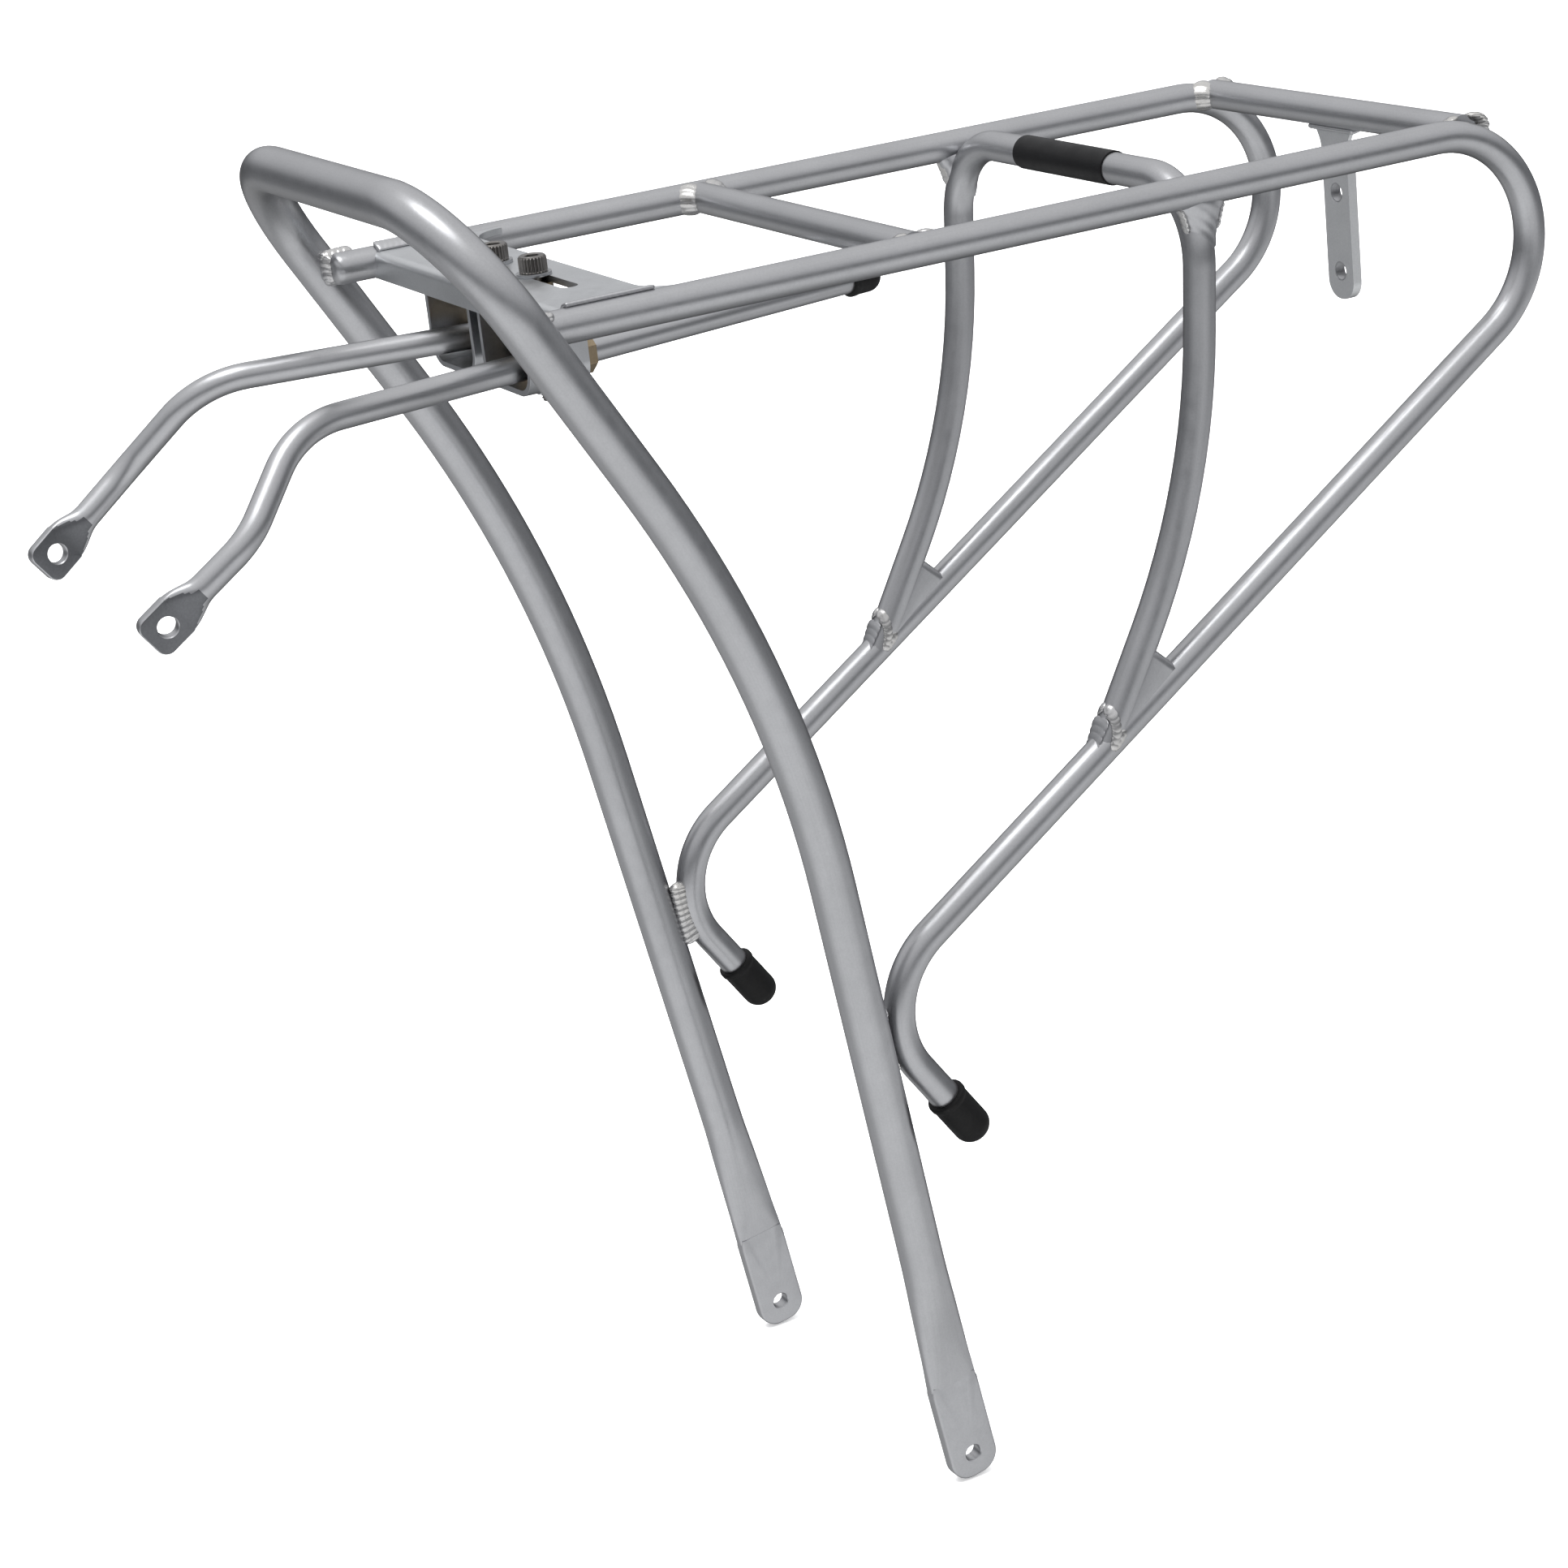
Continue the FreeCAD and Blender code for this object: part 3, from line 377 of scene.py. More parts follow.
def merge(*parts):
    verts, faces, uvs, offset = [], [], [], 0
    for part_verts, part_faces, part_uv in parts:
        verts.append(part_verts)
        uvs.append(part_uv)
        faces += [tuple(i + offset for i in face) for face in part_faces]
        offset += len(part_verts)
    return np.vstack(verts), faces, np.vstack(uvs)


def flip(part):
    """the part mirrored to the other side of the rack"""
    verts, faces, uv = part
    return verts * vec(-1, 1, 1), [tuple(reversed(face)) for face in faces], uv


def both(part):
    return merge(part, flip(part))


def tube(path, radii, first=(0.13, 0.2, 0.97), caps=(True, True)):
    along = tangents(path)
    radii = np.broadcast_to(np.asarray(radii, float), (len(path),))
    return skin(round_rings(path, along, carry(along, vec(*first)), radii, 40), caps=caps)


def lathe(base, axis, profile, seg=64, first=(0.3, 0.5, 0.8), caps=(True, True)):
    """rings of (height, radius) round an axis; a radius may be a function of the angles"""
    axis = unit(axis)
    side = square_to(vec(*first), axis)
    across = np.cross(axis, side)
    angle = turn_angles(seg)
    rings = []
    for height, radius in profile:
        r = radius(angle) if callable(radius) else np.full(seg, float(radius))
        rings.append(vec(*base) + axis * height + (r * np.cos(angle))[:, None] * side
                     + (r * np.sin(angle))[:, None] * across)
    return skin(rings, caps=caps)


def tab(centre, end_dir, side_dir, normal, half, back, end, corner, thick, hole, edge):
    """flat tab round a hole: half widths and thicknesses, corner radius, rounded edge"""
    chamfer = 0.3
    angle = turn_angles(120)

    def outline(inset):
        """distance from the hole's centre to the tab's edge, at each angle"""
        h, e, r = half - inset, end - inset, max(corner - inset, 0.3)
        points = [(-back, -h), (e - r, -h)]
        points += [(e - r + r * math.sin(a), -(h - r) - r * math.cos(a))
                   for a in np.linspace(0.1, math.pi / 2, 14)]
        points += [(e - r + r * math.cos(a), (h - r) + r * math.sin(a))
                   for a in np.linspace(0, math.pi / 2, 14)]
        p = np.array(points + [(-back, h)])
        ex, ey = (np.roll(p, -1, axis=0) - p).T
        reach = []
        for a in angle:
            dx, dy = math.cos(a), math.sin(a)
            det = dx * ey - dy * ex
            crossed = np.abs(det) > 1e-12
            safe = np.where(crossed, det, 1)
            far = np.where(crossed, (p[:, 0] * ey - p[:, 1] * ex) / safe, -1)
            on_edge = np.where(crossed, (p[:, 0] * dy - p[:, 1] * dx) / safe, -1)
            hit = crossed & (far > 1e-6) & (on_edge >= -1e-9) & (on_edge <= 1 + 1e-9)
            reach.append(far[hit].min())
        return np.array(reach)

    def ring(reach, z):
        return (centre + (reach * np.cos(angle))[:, None] * end_dir
                + (reach * np.sin(angle))[:, None] * side_dir + z * normal)

    lower = [(edge * (1 - math.sin(a)), -thick + edge * (1 - math.cos(a)))
             for a in np.linspace(0, math.pi / 2, 5)]
    rings = [ring(hole + chamfer, -thick)]
    rings += [ring(outline(inset), z) for inset, z in lower]
    rings += [ring(outline(inset), -z) for inset, z in reversed(lower)]
    rings += [ring(hole + chamfer, thick), ring(hole, thick - chamfer),
              ring(hole, -thick + chamfer)]
    return skin(rings, close=True)


def bead(points, normals, width, height, pitch=1.9, crest=0.4, ripple=0.16):
    """a rippled bead along points: half width, half height along the normals, round ends"""
    points, normals = np.array(points, float), np.array(normals, float)
    steps = np.linalg.norm(np.diff(points, axis=0), axis=1)
    run = np.concatenate([[0], np.cumsum(steps)])
    total = run[-1]
    count = max(int(total / 0.27), 8)
    u = np.linspace(0, total, count)

    def spread(values):
        return np.interp(u, run, np.broadcast_to(np.asarray(values, float), run.shape))

    width, height = spread(width), spread(height)
    normals = np.stack([spread(normals[:, i]) for i in range(3)], 1)
    points = np.stack([spread(points[:, i]) for i in range(3)], 1)
    along = tangents(points)
    round_end = min(2.4, total / 2.2)
    near = np.minimum(u, total - u)
    swell = np.sqrt(np.clip(1 - np.clip(1 - near / round_end, 0, 1) ** 2, 0.02, 1))
    angle = turn_angles(24)
    rings = []
    for i in range(count):
        side = unit(np.cross(along[i], normals[i]))
        up = np.cross(side, along[i])
        phase = np.mod(u[i] / pitch + crest * np.sin(angle) ** 2, 1.0)
        hump = np.sqrt(np.clip(1 - (2 * phase - 1) ** 2, 0, 1))
        size = swell[i] * (1 + ripple * (hump - 0.7))
        rings.append(points[i] + (size * np.cos(angle) * height[i])[:, None] * up
                     + (size * np.sin(angle) * width[i])[:, None] * side)
    return skin(rings)


# ---------------------------------------------------------------- objects
def add_object(name, data):
    made = bpy.data.objects.new(name, data)
    SCENE.collection.objects.link(made)
    return made


def piece(name, part, slot, body, *replaced, sharp=35.0, weld=0.0):
    verts, faces, uv = part
    mesh = bpy.data.meshes.new(name)
    mesh.from_pydata((np.asarray(verts) * MM).tolist(), [], faces)
    layer = mesh.uv_layers.new(name="along")
    index = np.zeros(len(mesh.loops), int)
    mesh.loops.foreach_get("vertex_index", index)
    layer.data.foreach_set("uv", np.asarray(uv)[index].astype(np.float32).ravel())
    bm = bmesh.new()
    bm.from_mesh(mesh)
    if weld:
        bmesh.ops.remove_doubles(bm, verts=bm.verts, dist=weld * MM)
    bmesh.ops.recalc_face_normals(bm, faces=bm.faces)
    bm.to_mesh(mesh)
    bm.free()
    mesh.update()
    smooth(mesh)
    mesh.set_sharp_from_angle(angle=math.radians(sharp))
    mesh.materials.append(MATERIALS[slot])
    made = add_object(name, mesh)
    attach(made, body)
    if replaced:
        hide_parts(*replaced)
    return made


def pair(name, part, slot, body, replaced, **options):
    """left and right pieces; {} in the body's name stands for the side"""
    return [piece(f"{side}_{name}", shape, slot, body.format(side), f"{side}_{replaced}",
                  **options)
            for side, shape in (("left", part), ("right", flip(part)))]


def refine(source, width):
    """a CAD node's own faces, with its sharp edges broken by a small bevel"""
    mesh = NODES[source].data.copy()
    mesh.name = source + "_finished"
    bm = bmesh.new()
    bm.from_mesh(mesh)
    bmesh.ops.remove_doubles(bm, verts=bm.verts, dist=2e-6)
    bmesh.ops.dissolve_limit(bm, angle_limit=math.radians(1.0), verts=bm.verts,
                             edges=bm.edges, delimit=set())
    bm.normal_update()
    edges = [e for e in bm.edges
             if len(e.link_faces) == 2 and e.calc_face_angle(0.0) > math.radians(30.0)]
    bmesh.ops.bevel(bm, geom=edges, offset=width * MM, offset_type="OFFSET", segments=2,
                    profile=0.5, affect="EDGES", clamp_overlap=True, loop_slide=True)
    bmesh.ops.recalc_face_normals(bm, faces=bm.faces)
    bm.to_mesh(mesh)
    bm.free()
    if "custom_normal" in mesh.attributes:
        mesh.attributes.remove(mesh.attributes["custom_normal"])
    smooth(mesh)
    mesh.set_sharp_from_angle(angle=math.radians(38))
    mesh.materials.clear()
    mesh.materials.append(SHEET.get(source, MATERIALS[SLOT[source]]))
    made = add_object(mesh.name, mesh)
    made.modifiers.new("even", "WEIGHTED_NORMAL").keep_sharp = True
    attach(made, BODY[source])
    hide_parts(source)


# ---------------------------------------------------------------- frame tubes
def main_hoop():
    seg = 48
    leg = unit(HOOP_FOOT - HOOP_KNEE)
    squash_start = HOOP_FOOT - leg * 56.0
    path = rounded([(0, *HOOP_TOP[1:]), HOOP_TOP, HOOP_KNEE, squash_start], [37.7, 398.0])
    along = tangents(path)
    along[0] = X_AXIS               # the halves meet square in the middle
    leg_side = unit(np.cross(unit(np.cross(leg, X_AXIS)), leg))
    sides = carry(along[::-1], leg_side)[::-1]
    rings = round_rings(path, along, sides, [HOOP_R] * len(path), seg)
    # share of the squashed end, half thickness, half width, squareness
    squash = [(0.0, 7.0, 7.0, 2.0), (0.22, 6.75, 7.15, 2.0), (0.45, 5.6, 7.7, 2.05),
              (0.68, 4.0, 8.1, 2.3), (0.88, 2.9, 8.35, 3.2), (1.0, 2.47, 8.45, 5.5)]
    foot_dir = unit(HOOP_HOLE - HOOP_FOOT)
    for s, thick, wide, power in eased(squash, 26)[1:]:
        blend = s ** 3
        down = unit(leg * (1 - blend) + foot_dir * blend)
        wide_dir = unit(np.cross(down, X_AXIS))
        thick_dir = unit(np.cross(wide_dir, down))
        rings.append(section(squash_start + (HOOP_FOOT - squash_start) * s,
                             thick_dir, wide_dir, thick, wide, power, seg))
    half = skin(rings, caps=(False, True))
    foot = tab(HOOP_HOLE, foot_dir, unit(np.cross(foot_dir, X_AXIS)), X_AXIS, half=8.5,
               back=float(np.linalg.norm(HOOP_HOLE - HOOP_FOOT)) + 1.5, end=8.6,
               corner=6.8, thick=2.5, hole=2.75, edge=0.9)
    piece("main_hoop_tube", merge(both(half), both(foot)), "frame_metal", "rack",
          "main_hoop", weld=0.001)


def side_rails():
    """builds the rails; returns the left one's lower end and the direction it points"""
    knee_z = DECK_Z - (RAIL_REAR - STRUT_END) * math.tan(STRUT_SLOPE)
    knee = vec(RAIL_X, FRONT_Y + STRUT_END, knee_z)
    path = rounded([(RAIL_X, FRONT_Y - 12.0, DECK_Z), (RAIL_X, FRONT_Y + RAIL_REAR, DECK_Z),
                    knee], [35.0])
    centre = knee + STRUT_UNDER * LOWER_BEND_R
    last = math.radians(303.5)
    arc = [centre + vec(0, math.sin(h), -math.cos(h)) * LOWER_BEND_R
           for h in np.linspace(math.pi + STRUT_SLOPE, last, 38)[1:]]
    tip_dir = vec(0, math.cos(last), math.sin(last))
    tip = [arc[-1] + tip_dir * k for k in np.linspace(0, 27.0, 6)[1:]]
    # the front end is closed over by weld: a low dome of (distance, radius)
    dome = [(0.0, 2.4), (0.35, 3.5), (0.9, 4.3), (1.7, 4.8), (2.8, TUBE_R)]
    path = np.vstack([[path[0] + vec(0, 1.6 + d, 0) for d, _ in dome], path[1:], arc, tip])
    radii = [r for _, r in dome] + [TUBE_R] * (len(path) - len(dome))
    pair("rail_tube", tube(path, radii), "frame_metal", "rack", "side_rail")
    return path[-1], tip_dir


def cross_tubes():
    """the ends run on into the rails"""
    for name, y in CROSS_TUBES.items():
        path = np.array([vec(x, FRONT_Y + y, DECK_Z) for x in np.linspace(-68.5, 68.5, 41)])
        piece(name + "_bar", tube(path, TUBE_R, first=(0, 0, 1)), "frame_metal", "rack",
              name + "_tube")


def inner_hoop():
    path = rounded([(0, *INNER_TOP[1:]), INNER_TOP, INNER_BEND, INNER_TOE], [25.0, 220.0])
    half = tube(path, TUBE_R, first=(0, 0, 1), caps=(False, True))
    piece("inner_hoop_tube", both(half), "frame_metal", "rack", "inner_hoop", weld=0.001)


def hoop_band():
    """black film round the top of the inner hoop"""
    film = 5.47

    def overlap(r):
        # the film's own end laps over itself
        def radius(angle):
            lap = np.clip(1 - np.abs(np.mod(angle - 4.2, 2 * math.pi) - 0.5) / 0.5, 0, 1)
            return np.full(len(angle), r) + (0.12 * lap ** 0.3 if r > 5.4 else 0.0)
        return radius

    # height along the band, radius
    profile = [(0.0, TUBE_R), (0.0, 5.32), (0.12, 5.44), (0.35, film)]
    profile += [(h, film) for h in np.linspace(1.5, 50.5, 26)]
    profile += [(51.65, film), (51.88, 5.44), (52.0, 5.32), (52.0, TUBE_R)]
    band = lathe((-27.0, *INNER_TOP[1:]), X_AXIS, [(h, overlap(r)) for h, r in profile],
                 seg=72, first=(0, 0, 1))
    piece("hoop_band_film", band, "band", "rack", "hoop_band", sharp=50)


# ---------------------------------------------------------------- rubber caps and stays
def cap_profile(r, length, bore, lip):
    """(height, radius) from the bore at the open end, over a lip, to the domed end"""
    dome = r * 0.86
    rows = [(3.0, bore), (0.0, bore), (0.0, r - 0.25), (0.2, r + lip * 0.6), (0.6, r + lip),
            (1.8, r + lip), (2.3, r + 0.05)]
    rows += [(h, r) for h in np.linspace(3.0, length - dome, 8)]
    rows += [(length - dome + dome * math.sin(a), r - dome + dome * math.cos(a))
             for a in np.linspace(0.12, math.pi / 2 - 0.02, 14)]
    return rows


def foot_caps(tip_end, tip_dir):
    cap = lathe(tip_end - tip_dir * 12.5, tip_dir,
                cap_profile(r=6.15, length=20.0, bore=TUBE_R, lip=0.35), first=(1, 0, 0))
    pair("foot_cap_rubber", cap, "cap_rubber", "rack", "foot_cap", sharp=60)


def stays():
    seg = 40
    toe_in = math.radians(9.35)
    rearward = vec(-math.sin(toe_in), math.cos(toe_in), 0)
    outward = vec(math.cos(toe_in), math.sin(toe_in), 0)
    beside_screw = vec(SCREW_X, SCREW_Y, DECK_Z - 19.1) + outward * 11.3

    def on_axis(y):
        return beside_screw + rearward * ((y + FRONT_Y - beside_screw[1]) / rearward[1])

    rear, first_bend = on_axis(135.6), on_axis(-67.5)
    second_bend = vec(54.2, FRONT_Y - 90.6, DECK_Z - 43.4)
    hole = vec(51.0, FRONT_Y - 116.9, DECK_Z - 62.4)
    end_dir = unit(hole - second_bend)
    squash_start, squash_end = hole - end_dir * 15.0, hole - end_dir * 3.7
    path = rounded([rear, first_bend, second_bend, squash_start], [33.0, 25.5])
    thick_dir = square_to(X_AXIS, end_dir)
    wide_dir = unit(np.cross(end_dir, thick_dir))
    along = tangents(path)
    along[-1] = end_dir
    sides = carry(along[::-1], thick_dir)[::-1]
    rings = round_rings(path, along, sides, [STAY_R] * len(path), seg)
    # share of the squashed end, half thickness, half width, squareness
    squash = [(0.0, 4.0, 4.0, 2.0), (0.2, 3.75, 4.3, 2.0), (0.42, 3.0, 5.2, 2.2),
              (0.65, 2.3, 6.05, 3.0), (0.85, 2.0, 6.4, 5.0), (1.0, 1.96, 6.46, 7.0)]
    for s, thick, wide, power in eased(squash, 20)[1:]:
        rings.append(section(squash_start + (squash_end - squash_start) * s,
                             thick_dir, wide_dir, thick, wide, power, seg))
    flat = tab(hole, end_dir, wide_dir, thick_dir, half=6.5, back=4.6, end=6.8, corner=3.4,
               thick=2.0, hole=3.0, edge=0.55)
    rods = pair("stay_rod", merge(skin(rings), flat), "stay_metal", "{}_stay_arm", "stay")
    for rod, side in zip(rods, (1.0, -1.0)):
        # the press leaves the tab's two flats duller; their much darker colour is painted
        # shade, a dark reflection painted into the metal
        rod.data.materials.append(PAINTED_DARK_TAB)
        mirror = vec(side, 1, 1)
        for p in rod.data.polygons:
            run = float((np.array(p.center) / MM - hole * mirror) @ (end_dir * mirror))
            facing = abs(float(np.array(p.normal) @ (thick_dir * mirror)))
            if run > -13.0 and facing > (0.96 if run > -4.0 else 0.92):
                p.material_index = 1
    cap = lathe(rear - rearward * 9.7, rearward,
                cap_profile(r=5.0, length=11.7, bore=STAY_R, lip=0.2),
                first=(1, 0, 0), seg=56)
    pair("stay_cap_rubber", cap, "cap_rubber", "{}_stay_arm", "stay_cap", sharp=60)


# ---------------------------------------------------------------- clamp screws
def screw(x):
    """knurled socket head on a threaded shank"""
    head_z = DECK_Z + 3.7 + 1.0
    shank_z = DECK_Z - 27.2 - 4.0 - 2.5
    pitch = 0.8

    def knurl(r):
        return lambda angle: r - 0.55 * (0.5 - 0.5 * np.cos(angle * 24)) ** 1.2

    def hexagon(flats):
        sector = math.pi / 3
        return lambda angle: (flats / 2) / np.cos(np.mod(angle, sector) - math.pi / 6)

    # height, radius: up the knurled side, over the rim and down into the socket
    profile = [(-0.02, 2.4), (-0.02, 3.9), (0.15, 4.1), (0.4, knurl(4.25)),
               (1.4, knurl(4.25)), (2.6, knurl(4.25)), (3.9, knurl(4.25)),
               (4.35, knurl(4.22)), (4.6, 3.95), (4.85, 3.82), (5.0, 3.6), (5.0, 2.9),
               (4.98, 2.62), (4.75, hexagon(4.1)), (4.5, hexagon(4.0)),
               (3.4, hexagon(4.0)), (2.5, hexagon(4.0)), (2.35, 1.2)]
    head = lathe((x, SCREW_Y, head_z), (0, 0, 1), profile, seg=216, first=(1, 0, 0))
    rings = []
    angle = turn_angles(36)
    for z in np.arange(shank_z, head_z, pitch / 6):
        phase = np.mod((z - shank_z) / pitch - angle / (2 * math.pi), 1.0)
        r = 2.48 - 0.38 * np.abs(2 * phase - 1) * (1.0 if z < head_z - 3 else 0.0)
        r = r * min(1.0, 0.82 + (z - shank_z) * 0.25)       # tapered lower end
        rings.append(np.stack([x + r * np.cos(angle), SCREW_Y + r * np.sin(angle),
                               np.full(36, z)], 1))
    return merge(head, skin(rings))


def screws():
    for side, x in (("left", SCREW_X), ("right", -SCREW_X)):
        piece(side + "_knurled_screw", screw(x), "bolt_steel", side + "_screw",
              side + "_clamp_bolt", sharp=28)


def pressed_parts():
    """plate, bracket and clamp parts with broken edges"""
    refine("front_plate", 0.35)
    refine("reflector_bracket", 0.3)
    for side in ("left", "right"):
        for part, width in (("stirrup", 0.3), ("block", 0.35), ("washer", 0.15),
                            ("nut", 0.18)):
            refine(f"{side}_clamp_{part}", width)


# ---------------------------------------------------------------- welds
def islands(bm):
    """the connected groups of vertices"""
    seen = np.zeros(len(bm.verts), bool)
    groups = []
    for start in bm.verts:
        if seen[start.index]:
            continue
        stack, group = [start], []
        seen[start.index] = True
        while stack:
            vert = stack.pop()
            group.append(vert)
            for edge in vert.link_edges:
                other = edge.other_vert(vert)
                if not seen[other.index]:
                    seen[other.index] = True
                    stack.append(other)
        groups.append(group)
    return groups


def remade(c):
    """whether the seam centred here is left out; most of these get modelled beads instead"""
    x, y, z = abs(c[0]), c[1] - FRONT_Y, abs(c[2] - DECK_Z)
    crossing = any(abs(y - tube_y) < 4 and z < 4 and x > 50
                   for tube_y in CROSS_TUBES.values())
    front_end = y < 1 and z < 12 and x > 66
    mid_deck = abs(y - 215.2) < 14 and z < 20 and x > 40
    return crossing or c[2] < 300 or front_end or mid_deck


def weld_beads():
    """the CAD seams, rounded and rippled"""
    source = add_object("seam_source", NODES["weld_seams"].data.copy())
    remesh = source.modifiers.new("voxels", "REMESH")
    remesh.mode = "VOXEL"
    remesh.voxel_size = 0.00036
    depsgraph = bpy.context.evaluated_depsgraph_get()
    mesh = bpy.data.meshes.new_from_object(source.evaluated_get(depsgraph))
    bpy.data.objects.remove(source)
    mesh.name = "weld_beads"
    bm = bmesh.new()
    bm.from_mesh(mesh)
    for _ in range(7):
        bmesh.ops.smooth_vert(bm, verts=bm.verts, factor=0.5, use_axis_x=True,
                              use_axis_y=True, use_axis_z=True)
    bm.normal_update()
    bm.verts.ensure_lookup_table()
    gone = []
    for group in islands(bm):
        places = np.array([v.co for v in group]) / MM
        centre = places.mean(0)
        if remade(centre):
            gone += group
            continue
        # ripples cross the seam's longest direction, bowed over its width
        offsets = places - centre
        _, directions = np.linalg.eigh(offsets.T @ offsets)
        main = directions[:, 2]
        if main[np.argmax(np.abs(main))] < 0:
            main = -main
        along, across = offsets @ main, offsets @ directions[:, 1]
        half_width = max(np.abs(across).max(), 1.0)
        phase = np.mod(along / 1.9 + 0.45 * (across / half_width) ** 2, 1.0)
        humps = np.sqrt(np.clip(1 - (2 * phase - 1) ** 2, 0, 1))
        for vert, hump in zip(group, humps):
            vert.co += vert.normal * (0.02 + 0.10 * float(hump)) * MM
    bmesh.ops.delete(bm, geom=gone, context="VERTS")
    bm.to_mesh(mesh)
    bm.free()
    smooth(mesh)
    mesh.materials.clear()
    mesh.materials.append(SEAM)
    made = add_object("weld_beads", mesh)
    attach(made, "rack")
    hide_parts("weld_seams")


def cross_tube_beads():
    """a bead in the crotch on each side of a cross tube's end"""
    beads = []
    for tube_y in CROSS_TUBES.values():
        for side in (-1, 1):
            points, normals, widths, heights = [], [], [], []
            for t in np.radians(np.linspace(-68, 68, 25)):
                c, s = math.cos(t), math.sin(t)
                points.append((RAIL_X - TUBE_R * c - 0.1,
                               FRONT_Y + tube_y + side * (TUBE_R * c + 1.1 * c + 0.2),
                               DECK_Z + TUBE_R * s))
                normals.append(unit((-c, side * c, 1.2 * s)))
                widths.append(1.2 + 3.3 * c)
                heights.append(0.5 + 1.3 * c)
            beads.append(bead(points, normals, widths, heights))
    return beads


def rail_front_beads():
    """rail front end against the hoop leg: over the top, underneath, and down the end"""
    over = [(75.4, y, DECK_Z + 3.7 + 0.05 * (y + 108)) for y in np.linspace(-108.5, -97.5, 12)]
    under = [(75.0, y, DECK_Z - 3.9) for y in np.linspace(-108.0, -98.5, 12)]
    down = [(74.4 - 0.1 * abs(z), -106.6, DECK_Z + z) for z in np.linspace(-4.6, 4.6, 12)]
    return [bead(over, [(-0.35, 0, 1)] * 12, width=2.3, height=1.7),
            bead(under, [(-0.35, 0, -1)] * 12, width=2.3, height=1.6),
            bead(down, [(-0.5, -1, 0)] * 12, width=2.9, height=1.5)]


def lower_bend_bead():
    """lower bend against the hoop leg, worked from the inner side"""
    centre = vec(RAIL_X, FRONT_Y + STRUT_END, 182.8) + STRUT_UNDER * LOWER_BEND_R
    toward_rail = 0.66
    points, widths = [], []
    for z in np.linspace(141.5, 163.5, 20):
        share = (z - HOOP_FOOT[2]) / (HOOP_KNEE[2] - HOOP_FOOT[2])
        leg_x, leg_y, _ = HOOP_FOOT + (HOOP_KNEE - HOOP_FOOT) * share
        bend_y = centre[1] - math.sqrt(LOWER_BEND_R ** 2 - (z - centre[2]) ** 2)
        points.append((leg_x + (RAIL_X - leg_x) * toward_rail - 2.4,
                       leg_y + (bend_y - leg_y) * toward_rail, z))
        widths.append(3.3 + 0.012 * (z - 154) ** 2)
    return bead(points, [(-1, 0.2, 0)] * 20, widths, height=2.5, pitch=2.0, crest=0.25)


def inner_toe_joint():
    """foot of the inner hoop on the strut: builds the webs and runs, returns the toe beads"""
    joint = vec(71.35, *INNER_TOE[1:])
    leg_up = unit(INNER_BEND - INNER_TOE)
    leg_front = unit(np.cross(X_AXIS, leg_up))
    strut_top = unit(np.cross(X_AXIS, STRUT_UP))

    # filled crotch, drawn in at its upper edge
    distances = [*np.linspace(3, 33.4, 22), 34.3, 34.8]
    rings = []
    for d, shrink in zip(distances, [1.0] * 22 + [0.72, 0.3]):
        on_leg, on_strut = joint + leg_up * d, joint + STRUT_UP * d
        gap = on_leg - on_strut
        rings.append(section((on_leg + on_strut) / 2, unit(gap), X_AXIS,
                             np.linalg.norm(gap) / 2 + 1.0, (4.85 - 0.02 * d) * shrink,
                             3.0, 40))
    piece("joint_webs", both(skin(rings)), "frame_metal", "rack", sharp=60)

    beads = []
    for side in (-1, 1):
        # round the leg from its front line to its flank, along the strut's surface
        points, normals, widths, heights = [], [], [], []
        for t in np.radians(np.linspace(0, 112, 26)):
            c, s = math.cos(t), math.sin(t)
            flank = vec(side, 0, 0) * s
            radial = leg_front * c + flank
            on_leg = radial * TUBE_R
            lift = TUBE_R * abs(c)
            slide = (lift - float(on_leg @ strut_top)) / float(leg_up @ strut_top)
            points.append(joint + on_leg + leg_up * (slide + 10.5 * max(0.0, c) ** 0.4))
            normals.append(unit(radial + strut_top * (lift / TUBE_R) + flank))
            widths.append(2.3 - 0.7 * s)
            heights.append(0.95 - 0.35 * s)
        beads.append(bead(points, normals, widths, heights))

    run = [joint + leg_front * 4.6 + leg_up * d for d in np.linspace(-7.5, 9.0, 20)]
    run = bead(run, [leg_front] * 20, [2.6 + 0.1 * i for i in range(20)], height=0.55,
               pitch=2.2, ripple=0.1)
    piece("foot_runs", both(run), "frame_metal", "rack", sharp=70)
    return beads


def fillet_beads():
    beads = cross_tube_beads() + rail_front_beads() + [lower_bend_bead()] + inner_toe_joint()
    piece("weld_ripples", both(merge(*beads)), "weld", "rack", sharp=70)


